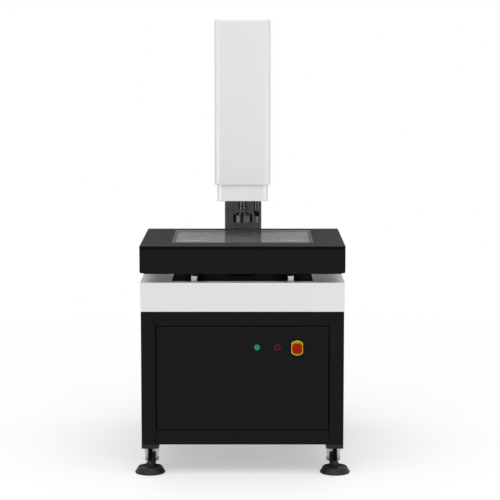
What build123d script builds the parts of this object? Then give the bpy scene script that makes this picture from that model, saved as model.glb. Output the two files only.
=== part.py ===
from build123d import *
import os

os.makedirs("parts", exist_ok=True)

# Origin on the floor, centred under the four feet: X to the right seen from the front, Y to the back, Z up.
# All sizes are in millimetres. A height whose name ends in rise is counted from the face of the granite.

# Fits shared by the whole machine
panel_gap = 0.3
running_gap = 0.05
slide_gap = 0.3
sheet_wall = 2.0

# Cabinet frame of square tube
cabinet_width = 700.0
cabinet_depth = 900.0
tube_side = 50.0
tube_wall = 3.0
tube_corner = 4.0
frame_height = 467.0

# Corner plates under the posts, which carry the feet and the casters
plate_bottom = 90.0
plate_thickness = 14.0
plate_width = 60.0
plate_length = 160.0
plate_taper = 4.0
caster_boss_height = 4.0
caster_boss_radius = 27.0

# Levelling feet
foot_inset = 28.0
foot_sole_radius = 51.5
foot_pad_radius = 52.5
foot_rim_radius = 41.0
foot_bulge_height = 3.5
foot_rim_height = 22.0
foot_dish_height = 16.0
foot_hub_base_radius = 12.4
foot_hub_radius = 11.5
foot_hub_height = 31.0
foot_collar_radius = 14.5
foot_collar_edge = 1.0
foot_collar_height = 42.0
foot_stem_radius = 8.0
foot_stem_top = 185.0

# Swivel casters
caster_from_side = 30.0
caster_from_end = 128.0
caster_trail = 20.0
wheel_radius = 25.0
wheel_width = 26.0
wheel_axle_height = 31.0
wheel_side_gap = 0.6
axle_radius = 4.0
axle_nut_radius = 7.5
axle_nut_height = 4.0
fork_crown_radius = 26.0
fork_crown_height = 21.0
fork_leg_top = 52.0
fork_leg_foot = 41.0
fork_eye_radius = 11.0
kingpin_radius = 6.0
kingpin_length = 12.0

# Cabinet panels and door
panel_fold = 18.0
door_side_gap = 3.0
door_end_gap = 2.5
door_recess = 2.0
door_edge_round = 1.5
hinge_from_edge = 14.0
hinge_behind_face = 7.0
hinge_pin_radius = 4.0
hinge_pin_reach = 8.0
louvre_width = 150.0
louvre_height = 12.0
louvre_depth = 7.0
louvre_pitch = 26.0
louvre_rows = 6
louvre_spread = 220.0
louvre_centre_drop = 171.0
inlet_from_edge = 97.0
inlet_lift = 52.0
inlet_width = 28.0
inlet_tall = 48.0
inlet_flange = 8.0
inlet_depth = 26.0

# Controller housed in the cabinet
controller_width = 420.0
controller_depth = 360.0
controller_height = 130.0
controller_foot = 12.0
controller_y = 60.0
controller_vents = 9
vent_width = 12.0
vent_depth = 6.0

# Push buttons and emergency stop on the door
green_button_from_edge = 246.8
red_button_from_edge = 177.4
estop_from_edge = 108.5
button_row_drop = 74.0
estop_drop = 76.5
bezel_radius = 12.0
bezel_proud = 4.0
barrel_radius = 11.0
barrel_depth = 28.0
button_radius = 9.5
button_proud = 3.0
button_travel = 3.0
button_length = 15.0
estop_plate_radius = 25.5
estop_plate_width = 39.5
estop_plate_thickness = 6.0
estop_rim = 2.5
estop_travel = 5.0
estop_head_width = 34.5
estop_head_corner = 11.0
estop_head_thickness = 12.0
estop_stem_radius = 7.0
estop_head_standoff = 7.5
estop_socket = 6.0

# Granite base, its pads and its white cover
pad_height = 10.0
base_pad_width = 40.0
base_pad_length = 80.0
base_pad_spacing = 560.0
cover_overhang = 1.5
cover_side_wall = 3.0
base_cover_height = 100.0
slab_side_gap = 3.5
slab_top_drop = 4.0
window_width = 489.0
window_front = 407.5
window_gap = 0.5
slab_chamfer = 4.0

# Linear guides of the table
guide_width = 20.0
guide_height = 17.5
block_width = 44.0
block_length = 77.5
block_height = 30.0
block_foot = 5.0
block_chamfer = 2.5

# Y axis
y_rail_x = 167.0
y_rail_front = -407.0
y_rail_back = 180.0
y_block_front = -214.0
y_block_back = -12.0
y_screw_x = 100.0
screw_radius = 6.0
journal_radius = 4.0
y_screw_front = -180.0
y_nut_y = 4.0
nut_length = 36.0
nut_width = 40.0
nut_pocket = 8.0
nut_drop = 16.0
motor_side = 42.0
motor_length = 60.0
motor_corner = 4.0
bearing_length = 18.0
y_bearing_clearance = 4.0

# Saddle, the ladder frame between the two axes
saddle_height = 53.0
saddle_half_width = 340.0
saddle_front = -445.0
front_bar_depth = 42.0
rear_bar_front = -64.0
rear_bar_back = 25.0
cross_bar_inner = 130.0
cross_bar_outer = 204.0
saddle_corner = 8.0
channel_width = 44.0
channel_depth = 48.0
channel_left = -242.0

# X axis
x_rail_front_y = -424.0
x_rail_back_y = 3.0
x_block_x = 92.0
x_screw_y = -38.0
x_screw_drop = 26.0
x_screw_half = 224.0
x_bearing_length = 14.0
x_motor_block = 22.0
x_nut_half = 20.0
nut_bracket_half = 54.0
nut_bracket_lift = 3.0
x_nut_drop = 14.0

# Table top, its glass and its skirt
table_width = 706.0
table_front = -450.0
table_back = 30.0
table_thickness = 21.0
table_bevel_drop = 9.0
table_bevel_run = 5.0
glass_half_width = 245.0
glass_front = -413.0
glass_back = -22.0
glass_thickness = 9.0
glass_ledge = 12.0
glass_gap = 0.5
ledge_corner = 8.0
skirt_height = 81.0
skirt_wall = 3.0
skirt_corner = 6.0

# Round light under the stage glass
backlight_radius = 50.0
backlight_height = 28.0
backlight_rim = 3.0
backlight_recess = 2.0

# Granite column and head arm
column_half_width = 69.0
column_front = 190.0
column_depth = 180.0
column_top_rise = 829.0
column_chamfer = 5.0
arm_half_width = 60.0
arm_front = -60.0
arm_bottom_rise = 329.0
arm_top_rise = 791.0
arm_rib = 26.0
arm_web = 30.0

# White cover over the arm
cover_half_width = 98.0
cover_front = -275.0
cover_bottom_rise = 322.0
cover_top_rise = 897.0
cover_round = 22.0
cover_wall = 3.0
cover_top_round = 5.0
arm_slot_gap = 1.0

# Z axis
z_guide_width = 15.0
z_guide_height = 15.0
z_rail_x = 40.0
z_rail_bottom_rise = 329.0
z_rail_top_rise = 761.0
z_block_width = 34.0
z_block_length = 60.0
z_block_height = 28.0
z_block_foot = 4.0
z_block_low_rise = 407.0
z_block_high_rise = 489.0
z_screw_y = -74.0
z_screw_bottom_rise = 341.0
z_nut_height_rise = 448.0
z_nut_half = 20.0
z_bearing_bottom_rise = 771.0
z_bearing_height = 22.0
z_motor_height = 50.0
slide_thickness = 12.0

# Measuring head
head_half_width = 89.0
head_front = -266.0
head_bottom_rise = 264.0
head_top_rise = 529.0
head_round = 18.0
head_wall = 2.0
head_floor = 3.0
lens_y = -217.5
lens_hole_gap = 1.0
clamp_bottom_rise = 371.0
clamp_height = 34.0
clamp_wall = 12.0
camera_side = 50.0
camera_height = 60.0
camera_mount_top_rise = 459.0
lens_barrel_radius = 20.0
lens_barrel_bottom_rise = 324.0
lens_barrel_top_rise = 429.0
lens_tube_radius = 13.0
lens_neck_top_rise = 244.0
lens_neck_radius = 15.25
lens_cone_top_rise = 231.0
lens_cone_radius = 13.5
lens_flare_top_rise = 217.5
lens_flare_radius = 21.0
lens_bore_radius = 10.0
lens_bore_depth = 14.0
mount_thread_radius = 15.0
zoom_ring_bottom_rise = 334.0
zoom_ring_height = 25.0
zoom_groove_radius = 17.0
zoom_ring_radius = 25.0
zoom_ring_flutes = 12
zoom_flute_radius = 1.6
ring_light_top_rise = 212.0
ring_light_height = 26.0
ring_light_radius = 33.5
ring_light_bore = 20.0
ring_light_lip = 12.0
ring_light_lip_height = 3.0
ring_light_channel = 4.0
ring_light_channel_wall = 2.5

# Touch probe beside the lens
probe_x = 51.0
probe_radius = 10.7
probe_top_rise = 314.0
probe_flange_radius = 15.0
probe_flange_height = 5.0
probe_cone_top_rise = 219.0
probe_tip_height_rise = 206.0
probe_tip_radius = 6.0
probe_mouth_radius = 4.5
probe_mouth_depth = 8.0
stylus_pivot_height_rise = 210.0
stylus_pin_radius = 1.0
stylus_pin_half = 5.4
stylus_cross_half = 2.5
stylus_eye_radius = 1.9
stylus_eye_inner = 1.3
stylus_eye_outer = 2.3
stylus_yoke_half = 1.2
stylus_yoke_top = 1.5
stylus_yoke_bottom = 2.7
stylus_stem_radius = 1.5
stylus_collar_radius = 2.0
stylus_ball_radius = 2.5
stylus_bottom_rise = 185.0

# Heights and places that follow from the sizes above
UP = (Align.CENTER, Align.CENTER, Align.MIN)
tube_bore = tube_side - 2 * tube_wall
frame_bottom = plate_bottom + plate_thickness
frame_top = frame_bottom + frame_height
post_x = (cabinet_width - tube_side) / 2
post_y = (cabinet_depth - tube_side) / 2
opening_width = cabinet_width - 2 * tube_side
opening_depth = cabinet_depth - 2 * tube_side
opening_bottom = frame_bottom + tube_side
opening_top = frame_top - tube_side
louvre_centre_height = frame_top - louvre_centre_drop
inlet_height = opening_bottom + inlet_lift
button_row_height = opening_top - button_row_drop
estop_height = opening_top - estop_drop
rail_spacing = frame_height - tube_side
frame_middle = (frame_bottom + frame_top) / 2
foot_x = cabinet_width / 2 - foot_inset
foot_y = cabinet_depth / 2 - foot_inset
caster_x = cabinet_width / 2 - caster_from_side
caster_y = cabinet_depth / 2 - caster_from_end
boss_bottom = plate_bottom - caster_boss_height
door_face_y = -cabinet_depth / 2 + door_recess
door_left = -opening_width / 2 + door_side_gap
door_right = opening_width / 2 - door_side_gap
inlet_x = door_left + inlet_from_edge
green_button_x = door_right - green_button_from_edge
red_button_x = door_right - red_button_from_edge
estop_x = door_right - estop_from_edge
door_bottom = opening_bottom + door_end_gap
door_top = opening_top - door_end_gap
hinge_x = door_left + hinge_from_edge
hinge_y = door_face_y + hinge_behind_face
granite_top = frame_top + base_cover_height
slab_top = granite_top - slab_top_drop
column_top = granite_top + column_top_rise
arm_bottom = granite_top + arm_bottom_rise
arm_top = granite_top + arm_top_rise
cover_bottom = granite_top + cover_bottom_rise
cover_top = granite_top + cover_top_rise
z_rail_bottom = granite_top + z_rail_bottom_rise
z_rail_top = granite_top + z_rail_top_rise
z_block_low = granite_top + z_block_low_rise
z_block_high = granite_top + z_block_high_rise
z_screw_bottom = granite_top + z_screw_bottom_rise
z_nut_height = granite_top + z_nut_height_rise
z_bearing_bottom = granite_top + z_bearing_bottom_rise
head_bottom = granite_top + head_bottom_rise
head_top = granite_top + head_top_rise
clamp_bottom = granite_top + clamp_bottom_rise
camera_mount_top = granite_top + camera_mount_top_rise
lens_barrel_bottom = granite_top + lens_barrel_bottom_rise
lens_barrel_top = granite_top + lens_barrel_top_rise
lens_neck_top = granite_top + lens_neck_top_rise
lens_cone_top = granite_top + lens_cone_top_rise
lens_flare_top = granite_top + lens_flare_top_rise
zoom_ring_bottom = granite_top + zoom_ring_bottom_rise
ring_light_top = granite_top + ring_light_top_rise
probe_top = granite_top + probe_top_rise
probe_cone_top = granite_top + probe_cone_top_rise
probe_tip_height = granite_top + probe_tip_height_rise
stylus_pivot_height = granite_top + stylus_pivot_height_rise
stylus_bottom = granite_top + stylus_bottom_rise
cover_half_x = cabinet_width / 2 + cover_overhang
cover_half_y = cabinet_depth / 2 + cover_overhang
slab_half_x = cover_half_x - cover_side_wall - slab_side_gap
slab_half_y = cover_half_y - cover_side_wall - slab_side_gap - cover_overhang
saddle_bottom = granite_top + block_height
saddle_top = saddle_bottom + saddle_height
table_bottom = saddle_top + block_height + 1
table_top_height = table_bottom + table_thickness
screw_height = granite_top + motor_side / 2
rear_bar_middle = (rear_bar_front + rear_bar_back) / 2
channel_floor = saddle_top - channel_depth
x_screw_height = saddle_top - x_screw_drop
slide_back = arm_front - z_block_height
slide_front = slide_back - slide_thickness


def block(x, y, z, mode=Mode.ADD):
    """Rectangular solid between two X, two Y and two Z limits, in the piece that is being made."""
    with BuildSketch(Plane.XY.offset(z[0])) as outline:
        with Locations(((x[0] + x[1]) / 2, (y[0] + y[1]) / 2)):
            Rectangle(x[1] - x[0], y[1] - y[0])
    extrude(outline.sketch, amount=z[1] - z[0], mode=mode)


def guide_section(width, height):
    """Section of a linear guide rail that stands on the origin, with a ball groove along each side."""
    half = width / 2
    waist = half - 0.1 * width
    right = [(half, 0), (half, 0.4 * height), (waist, 0.52 * height), (waist, 0.68 * height)]
    right += [(half, 0.8 * height), (half, 0.94 * height), (half - 0.06 * height, height)]
    left = [(-x, z) for x, z in reversed(right)]
    Polygon(*right, *left, align=None)


def block_section(rail_width, rail_height, width, height, foot):
    """Section of a guide block: an inverted U that wraps a rail standing on the origin."""
    bottom_up = (Align.CENTER, Align.MIN)
    with Locations((0, foot)):
        Rectangle(width, height - foot, align=bottom_up)
    Rectangle(rail_width + 2 * slide_gap, rail_height + slide_gap, align=bottom_up, mode=Mode.SUBTRACT)


def motor(plane, length):
    """Square stepping motor that stands on a plane: rounded corners and a dark middle set back a little."""
    with BuildSketch(plane) as flange:
        RectangleRounded(motor_side, motor_side, motor_corner)
    extrude(flange.sketch, amount=length)
    with BuildSketch(plane.offset(length / 4)) as waist:
        RectangleRounded(motor_side + 2, motor_side + 2, motor_corner)
        RectangleRounded(motor_side - 2, motor_side - 2, motor_corner, mode=Mode.SUBTRACT)
    extrude(waist.sketch, amount=length / 2, mode=Mode.SUBTRACT)


def save(piece, name):
    """Label a finished piece and write its file."""
    piece.part.label = name
    export_step(piece.part, f"parts/{name}.step")


# Cabinet posts
with BuildPart() as cabinet_posts:
    with BuildSketch(Plane.XY.offset(frame_bottom)):
        with GridLocations(2 * post_x, 2 * post_y, 2, 2):
            RectangleRounded(tube_side, tube_side, tube_corner)
            Rectangle(tube_bore, tube_bore, mode=Mode.SUBTRACT)
    extrude(amount=frame_height)
save(cabinet_posts, "cabinet_posts")

# Cabinet rails between the posts, with the two holes for the door's hinge pins
with BuildPart() as cabinet_rails:
    for plane, spread, length in ((Plane.YZ, post_y, opening_width), (Plane.XZ, post_x, opening_depth)):
        with BuildSketch(plane):
            with Locations((0, frame_middle)):
                with GridLocations(2 * spread, rail_spacing, 2, 2):
                    RectangleRounded(tube_side, tube_side, tube_corner)
                    Rectangle(tube_bore, tube_bore, mode=Mode.SUBTRACT)
        extrude(amount=length / 2, both=True)
    with Locations((hinge_x, hinge_y, opening_bottom), (hinge_x, hinge_y, opening_top)):
        Cylinder(hinge_pin_radius + running_gap, 4 * tube_wall, mode=Mode.SUBTRACT)
save(cabinet_rails, "cabinet_rails")

# Corner plates with a stem hole and a caster boss each
with BuildPart() as corner_plates:
    with BuildSketch(Plane.XY.offset(plate_bottom)):
        with GridLocations(cabinet_width - plate_width, cabinet_depth - plate_length, 2, 2):
            Rectangle(plate_width, plate_length)
    extrude(amount=plate_thickness)
    plate_edges = corner_plates.edges().filter_by(Axis.Y).group_by(Axis.Z)[0]
    chamfer(plate_edges.filter_by(lambda edge: abs(edge.center().X) < post_x), plate_taper)
    with BuildSketch(Plane.XY.offset(boss_bottom)):
        with GridLocations(2 * caster_x, 2 * caster_y, 2, 2):
            Circle(caster_boss_radius)
    extrude(amount=caster_boss_height)
    with BuildSketch(Plane.XY.offset(boss_bottom)):
        with GridLocations(2 * caster_x, 2 * caster_y, 2, 2):
            Circle(kingpin_radius + running_gap)
    extrude(amount=kingpin_length + panel_gap, mode=Mode.SUBTRACT)
    with BuildSketch(Plane.XY.offset(plate_bottom)):
        with GridLocations(2 * foot_x, 2 * foot_y, 2, 2):
            Circle(foot_stem_radius + running_gap)
    extrude(amount=plate_thickness, mode=Mode.SUBTRACT)
save(corner_plates, "corner_plates")

# Floor of the cabinet, a sheet on the lower rails with its corners cut round the posts
with BuildPart() as floor_panel:
    floor_x = opening_width / 2 + tube_side / 3
    floor_y = opening_depth / 2 + tube_side / 3
    block((-floor_x, floor_x), (-floor_y, floor_y), (opening_bottom, opening_bottom + sheet_wall))
    with BuildSketch(Plane.XY.offset(opening_bottom)):
        with GridLocations(2 * floor_x, 2 * floor_y, 2, 2):
            Rectangle(2 * (tube_side / 3 + panel_gap), 2 * (tube_side / 3 + panel_gap))
    extrude(amount=sheet_wall, mode=Mode.SUBTRACT)
save(floor_panel, "floor_panel")

# Side panels, folded trays set into the sides of the frame
with BuildPart() as side_panels:
    side_half = opening_depth / 2 - panel_gap
    side_low = opening_bottom + panel_gap
    side_high = opening_top - panel_gap
    for side in (-1, 1):
        outer = side * cabinet_width / 2
        inner = side * (cabinet_width / 2 - panel_fold)
        skin = side * (cabinet_width / 2 - sheet_wall)
        block(sorted((outer, inner)), (-side_half, side_half), (side_low, side_high))
        block(
            sorted((skin, inner)),
            (-side_half + sheet_wall, side_half - sheet_wall),
            (side_low + sheet_wall, side_high - sheet_wall),
            mode=Mode.SUBTRACT,
        )
save(side_panels, "side_panels")

# Rear panel with two columns of hooded louvres and the cut-out for the power inlet
with BuildPart() as rear_panel:
    rear_half = opening_width / 2 - panel_gap
    rear_face = cabinet_depth / 2
    block((-rear_half, rear_half), (rear_face - panel_fold, rear_face), (side_low, side_high))
    block(
        (-rear_half + sheet_wall, rear_half - sheet_wall),
        (rear_face - panel_fold, rear_face - sheet_wall),
        (side_low + sheet_wall, side_high - sheet_wall),
        mode=Mode.SUBTRACT,
    )
    low_lip = -louvre_height / 2
    for middle_x in (-louvre_spread / 2, louvre_spread / 2):
        for half_length, inset, mode in (
            (louvre_width / 2, 0, Mode.ADD),
            (louvre_width / 2 - sheet_wall, sheet_wall, Mode.SUBTRACT),
        ):
            with BuildSketch(Plane.YZ.offset(middle_x)) as hoods:
                with Locations((rear_face, louvre_centre_height)):
                    with GridLocations(0, louvre_pitch, 1, louvre_rows):
                        Polygon(
                            (-inset, louvre_height / 2 - inset),
                            (louvre_depth - inset, low_lip),
                            (-inset, low_lip),
                            align=None,
                        )
            extrude(hoods.sketch, amount=half_length, both=True, mode=mode)
    with BuildSketch(Plane.XZ.offset(-rear_face)) as cut_out:
        with Locations((inlet_x, inlet_height)):
            Rectangle(inlet_width + 2 * panel_gap, inlet_tall + 2 * panel_gap)
    extrude(cut_out.sketch, amount=sheet_wall, mode=Mode.SUBTRACT)
save(rear_panel, "rear_panel")

# Power inlet: a flange outside the panel, a shell through it and three pins in its socket
with BuildPart() as power_inlet:
    inlet_back = Plane.XZ.offset(-rear_face)
    with BuildSketch(inlet_back) as shell_outline:
        with Locations((inlet_x, inlet_height)):
            Rectangle(inlet_width, inlet_tall)
    extrude(shell_outline.sketch, amount=inlet_depth)
    with BuildSketch(inlet_back) as flange_outline:
        with Locations((inlet_x, inlet_height)):
            RectangleRounded(inlet_width + 2 * inlet_flange, inlet_tall + 2 * inlet_flange, inlet_flange / 2)
    extrude(flange_outline.sketch, amount=-sheet_wall)
    with BuildSketch(inlet_back.offset(-sheet_wall)) as socket:
        with Locations((inlet_x, inlet_height)):
            Rectangle(inlet_width - 3 * sheet_wall, inlet_tall - 3 * sheet_wall)
    extrude(socket.sketch, amount=inlet_depth - sheet_wall, mode=Mode.SUBTRACT)
    with BuildSketch(inlet_back.offset(inlet_depth - 2 * sheet_wall)) as pins:
        with Locations((inlet_x, inlet_height)):
            with Locations((0, 0), (5, -10), (5, 10)):
                Rectangle(sheet_wall, 3 * sheet_wall)
    extrude(pins.sketch, amount=-(inlet_depth - 4 * sheet_wall))
save(power_inlet, "power_inlet")

# Controller: a vented housing on four feet, standing on the cabinet floor
with BuildPart() as controller:
    floor_top = opening_bottom + sheet_wall
    controller_half = controller_width / 2
    controller_front = controller_y - controller_depth / 2
    case_bottom = floor_top + controller_foot
    block(
        (-controller_half, controller_half),
        (controller_front, controller_front + controller_depth),
        (case_bottom, case_bottom + controller_height),
    )
    chamfer(controller.edges().group_by(Axis.Z)[-1], 2 * sheet_wall)
    with BuildSketch(Plane.XZ.offset(-controller_front)):
        with Locations((0, case_bottom + controller_height / 2)):
            with GridLocations(2 * vent_width, 0, controller_vents, 1):
                Rectangle(vent_width, controller_height / 2)
    extrude(amount=-vent_depth, mode=Mode.SUBTRACT)
    with BuildSketch(Plane.XY.offset(floor_top)):
        with Locations((0, controller_y)):
            with GridLocations(0.8 * controller_width, 0.8 * controller_depth, 2, 2):
                Circle(controller_foot)
    extrude(amount=controller_foot)
save(controller, "controller")

# Rubber pads between the frame and the granite
with BuildPart() as base_pads:
    with BuildSketch(Plane.XY.offset(frame_top)):
        with GridLocations(2 * post_x, base_pad_spacing, 2, 2):
            RectangleRounded(base_pad_width, base_pad_length, base_pad_width / 4)
    extrude(amount=pad_height)
save(base_pads, "base_pads")

# Granite base: a slab inside the cover and a raised ground face that fills the cover's window
with BuildPart() as granite_base:
    block((-slab_half_x, slab_half_x), (-slab_half_y, slab_half_y), (frame_top + pad_height, slab_top))
    chamfer(granite_base.edges().filter_by(Axis.Z), slab_chamfer)
    raised_x = window_width / 2 - window_gap
    raised_y = window_front - window_gap
    block((-raised_x, raised_x), (-raised_y, raised_y), (slab_top, granite_top))
save(granite_base, "granite_base")

# White cover round the granite, open over the ground face
with BuildPart() as base_cover:
    cover_inner_x = cover_half_x - cover_side_wall
    cover_inner_y = cover_half_y - cover_side_wall
    block((-cover_half_x, cover_half_x), (-cover_half_y, cover_half_y), (frame_top, granite_top))
    fillet(base_cover.edges().filter_by(Axis.Z), cover_side_wall)
    block(
        (-cover_inner_x, cover_inner_x),
        (-cover_inner_y, cover_inner_y),
        (frame_top, granite_top - cover_side_wall),
        mode=Mode.SUBTRACT,
    )
    block(
        (-window_width / 2, window_width / 2),
        (-window_front, window_front),
        (granite_top - cover_side_wall, granite_top),
        mode=Mode.SUBTRACT,
    )
save(base_cover, "base_cover")

# Y guide rails on the granite
with BuildPart() as y_rails:
    with BuildSketch(Plane.XZ.offset(-y_rail_back)):
        with Locations((-y_rail_x, granite_top), (y_rail_x, granite_top)):
            guide_section(guide_width, guide_height)
    extrude(amount=y_rail_back - y_rail_front)
save(y_rails, "y_rails")

# Y motor on its bearing block behind the rails' ends
with BuildPart() as y_motor:
    bearing_front = y_rail_back + y_bearing_clearance
    bearing_back = bearing_front + bearing_length
    block(
        (y_screw_x - motor_side / 2, y_screw_x + motor_side / 2),
        (bearing_front, bearing_back),
        (granite_top, granite_top + motor_side),
    )
    motor(Plane((y_screw_x, bearing_back, screw_height), x_dir=(1, 0, 0), z_dir=(0, 1, 0)), motor_length)
    with Locations(Location((y_screw_x, bearing_front, screw_height), (90, 0, 0))):
        Cylinder(journal_radius + running_gap, 2 * bearing_length - 2 * sheet_wall, mode=Mode.SUBTRACT)
save(y_motor, "y_motor")


def screw(piece_plane, thread_length, low_journal, high_journal):
    """Lead screw that stands on a plane: a thick threaded length between two thinner journals."""
    with BuildSketch(piece_plane) as thread:
        Circle(screw_radius)
    extrude(thread.sketch, amount=thread_length)
    with BuildSketch(piece_plane) as journal:
        Circle(journal_radius)
    extrude(journal.sketch, amount=thread_length + high_journal)
    if low_journal:
        extrude(journal.sketch, amount=-low_journal)


# Y screw, free at its front end
with BuildPart() as y_screw:
    y_thread = bearing_front - panel_gap - y_screw_front
    y_screw_plane = Plane((y_screw_x, y_screw_front, screw_height), x_dir=(1, 0, 0), z_dir=(0, 1, 0))
    screw(y_screw_plane, y_thread, 0, bearing_length - 3 * sheet_wall)
    chamfer(y_screw.edges().sort_by(Axis.Y)[0], screw_radius / 4)
save(y_screw, "y_screw")

# Round light on the granite under the lens
with BuildPart() as backlight:
    with BuildSketch(Plane.XY.offset(granite_top)):
        with Locations((0, lens_y)):
            Circle(backlight_radius)
    extrude(amount=backlight_height)
    chamfer(backlight.edges().group_by(Axis.Z)[-1], backlight_rim / 3)
    with BuildSketch(Plane.XY.offset(granite_top + backlight_height)):
        with Locations((0, lens_y)):
            Circle(backlight_radius - backlight_rim)
    extrude(amount=-backlight_recess, mode=Mode.SUBTRACT)
save(backlight, "backlight")

# Saddle: two bars, two cross bars, the channel of the X screw and a pocket over the Y nut
with BuildPart() as saddle_frame:
    with BuildSketch(Plane.XY.offset(saddle_bottom)):
        with Locations((0, saddle_front + front_bar_depth / 2)):
            Rectangle(2 * saddle_half_width, front_bar_depth)
        with Locations((0, rear_bar_middle)):
            Rectangle(2 * saddle_half_width, rear_bar_back - rear_bar_front)
        with Locations((0, (saddle_front + rear_bar_back) / 2)):
            with GridLocations(cross_bar_inner + cross_bar_outer, 0, 2, 1):
                Rectangle(cross_bar_outer - cross_bar_inner, rear_bar_back - saddle_front)
    extrude(amount=saddle_height)
    inner_corners = saddle_frame.edges().filter_by(Axis.Z).filter_by(
        lambda edge: abs(edge.center().X) < saddle_half_width - 1
    )
    fillet(inner_corners, saddle_corner)
    channel_sides = (x_screw_y - channel_width / 2, x_screw_y + channel_width / 2)
    block((channel_left, saddle_half_width), channel_sides, (channel_floor, saddle_top), mode=Mode.SUBTRACT)
    block(
        (y_screw_x - nut_width / 2 - panel_gap, y_screw_x + nut_width / 2 + panel_gap),
        (y_nut_y - nut_length / 2 - panel_gap, y_nut_y + nut_length / 2 + panel_gap),
        (saddle_bottom, saddle_bottom + nut_pocket),
        mode=Mode.SUBTRACT,
    )
save(saddle_frame, "saddle_frame")

# Y guide blocks and the nut that the Y screw drives
with BuildPart() as y_carriages:
    for middle_y in (y_block_front, y_block_back):
        with BuildSketch(Plane.XZ.offset(-middle_y)) as sections:
            with Locations((-y_rail_x, granite_top), (y_rail_x, granite_top)):
                block_section(guide_width, guide_height, block_width, block_height, block_foot)
        extrude(sections.sketch, amount=block_length / 2, both=True)
    chamfer(y_carriages.edges().filter_by(Axis.Y).group_by(Axis.Z)[-1], block_chamfer)
    block(
        (y_screw_x - nut_width / 2, y_screw_x + nut_width / 2),
        (y_nut_y - nut_length / 2, y_nut_y + nut_length / 2),
        (screw_height - nut_drop, saddle_bottom + nut_pocket),
    )
    with Locations(Location((y_screw_x, y_nut_y, screw_height), (90, 0, 0))):
        Cylinder(screw_radius + running_gap, nut_length, mode=Mode.SUBTRACT)
save(y_carriages, "y_carriages")

# X guide rails on the saddle's bars
with BuildPart() as x_rails:
    with BuildSketch(Plane.YZ.offset(-saddle_half_width)):
        with Locations((x_rail_front_y, saddle_top), (x_rail_back_y, saddle_top)):
            guide_section(guide_width, guide_height)
    extrude(amount=2 * saddle_half_width)
save(x_rails, "x_rails")

# X motor with its bearing block, and the free end's bearing block, in the saddle's channel
with BuildPart() as x_motor:
    x_screw_end = x_screw_half + panel_gap
    motor_block_end = x_screw_end + x_motor_block
    block_half = motor_side / 2
    for low_x, high_x in ((-x_screw_end - x_bearing_length, -x_screw_end), (x_screw_end, motor_block_end)):
        block(
            (low_x, high_x),
            (x_screw_y - block_half, x_screw_y + block_half),
            (channel_floor, x_screw_height + block_half),
        )
    motor(Plane((motor_block_end, x_screw_y, x_screw_height), x_dir=(0, 1, 0), z_dir=(1, 0, 0)), motor_length)
    with Locations(
        Location((-x_screw_end, x_screw_y, x_screw_height), (0, 90, 0)),
        Location((x_screw_end, x_screw_y, x_screw_height), (0, 90, 0)),
    ):
        Cylinder(journal_radius + running_gap, 2 * x_bearing_length, mode=Mode.SUBTRACT)
save(x_motor, "x_motor")

# X screw
with BuildPart() as x_screw:
    x_screw_plane = Plane((-x_screw_half, x_screw_y, x_screw_height), x_dir=(0, 1, 0), z_dir=(1, 0, 0))
    screw(x_screw_plane, 2 * x_screw_half, x_bearing_length, x_bearing_length)
save(x_screw, "x_screw")

# Table top with a bevelled rim and a rebated window
with BuildPart() as table_top:
    glass_middle = (glass_front + glass_back) / 2
    glass_depth = glass_back - glass_front
    block((-table_width / 2, table_width / 2), (table_front, table_back), (table_bottom, table_top_height))
    chamfer(table_top.edges().group_by(Axis.Z)[-1], table_bevel_drop, table_bevel_run)
    with BuildSketch(Plane.XY.offset(table_top_height)):
        with Locations((0, glass_middle)):
            Rectangle(2 * glass_half_width, glass_depth)
    extrude(amount=-glass_thickness, mode=Mode.SUBTRACT)
    with BuildSketch(Plane.XY.offset(table_bottom)):
        with Locations((0, glass_middle)):
            ledge_width = 2 * (glass_half_width - glass_ledge)
            RectangleRounded(ledge_width, glass_depth - 2 * glass_ledge, ledge_corner)
    extrude(amount=table_thickness, mode=Mode.SUBTRACT)
save(table_top, "table_top")

# Stage glass in the window's rebate
with BuildPart() as stage_glass:
    with BuildSketch(Plane.XY.offset(table_top_height - glass_thickness)):
        with Locations((0, glass_middle)):
            Rectangle(2 * (glass_half_width - glass_gap), glass_depth - 2 * glass_gap)
    extrude(amount=glass_thickness)
    chamfer(stage_glass.edges().group_by(Axis.Z)[-1], glass_gap)
save(stage_glass, "stage_glass")

# Skirt plates that hang from the table's front and back edges
with BuildPart() as table_skirt:
    for skirt_y in (table_front, table_back - skirt_wall):
        block(
            (-table_width / 2, table_width / 2),
            (skirt_y, skirt_y + skirt_wall),
            (table_bottom - skirt_height, table_bottom),
        )
    fillet(table_skirt.edges().filter_by(Axis.Y).group_by(Axis.Z)[0], skirt_corner)
save(table_skirt, "table_skirt")

# X guide blocks, and the bracket that carries the nut of the X screw
with BuildPart() as x_carriages:
    for middle_x in (-x_block_x, x_block_x):
        with BuildSketch(Plane.YZ.offset(middle_x)) as sections:
            with Locations((x_rail_front_y, saddle_top), (x_rail_back_y, saddle_top)):
                block_section(guide_width, guide_height, block_width, block_height + 1, block_foot)
        extrude(sections.sketch, amount=block_length / 2, both=True)
    chamfer(x_carriages.edges().filter_by(Axis.X).group_by(Axis.Z)[-1], block_chamfer)
    bracket_y = (x_screw_y - nut_length / 2, x_screw_y + nut_length / 2)
    with BuildSketch(Plane.XZ.offset(-bracket_y[1])) as bracket:
        with Locations((0, table_bottom)):
            head_drop = table_bottom - saddle_top - nut_bracket_lift
            stalk_drop = table_bottom - x_screw_height + x_nut_drop
            Rectangle(2 * nut_bracket_half, head_drop, align=(Align.CENTER, Align.MAX))
            Rectangle(2 * x_nut_half, stalk_drop, align=(Align.CENTER, Align.MAX))
    extrude(bracket.sketch, amount=nut_length)
    with Locations(Location((0, x_screw_y, x_screw_height), (0, 90, 0))):
        Cylinder(screw_radius + running_gap, 2 * x_nut_half, mode=Mode.SUBTRACT)
save(x_carriages, "x_carriages")

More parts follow.
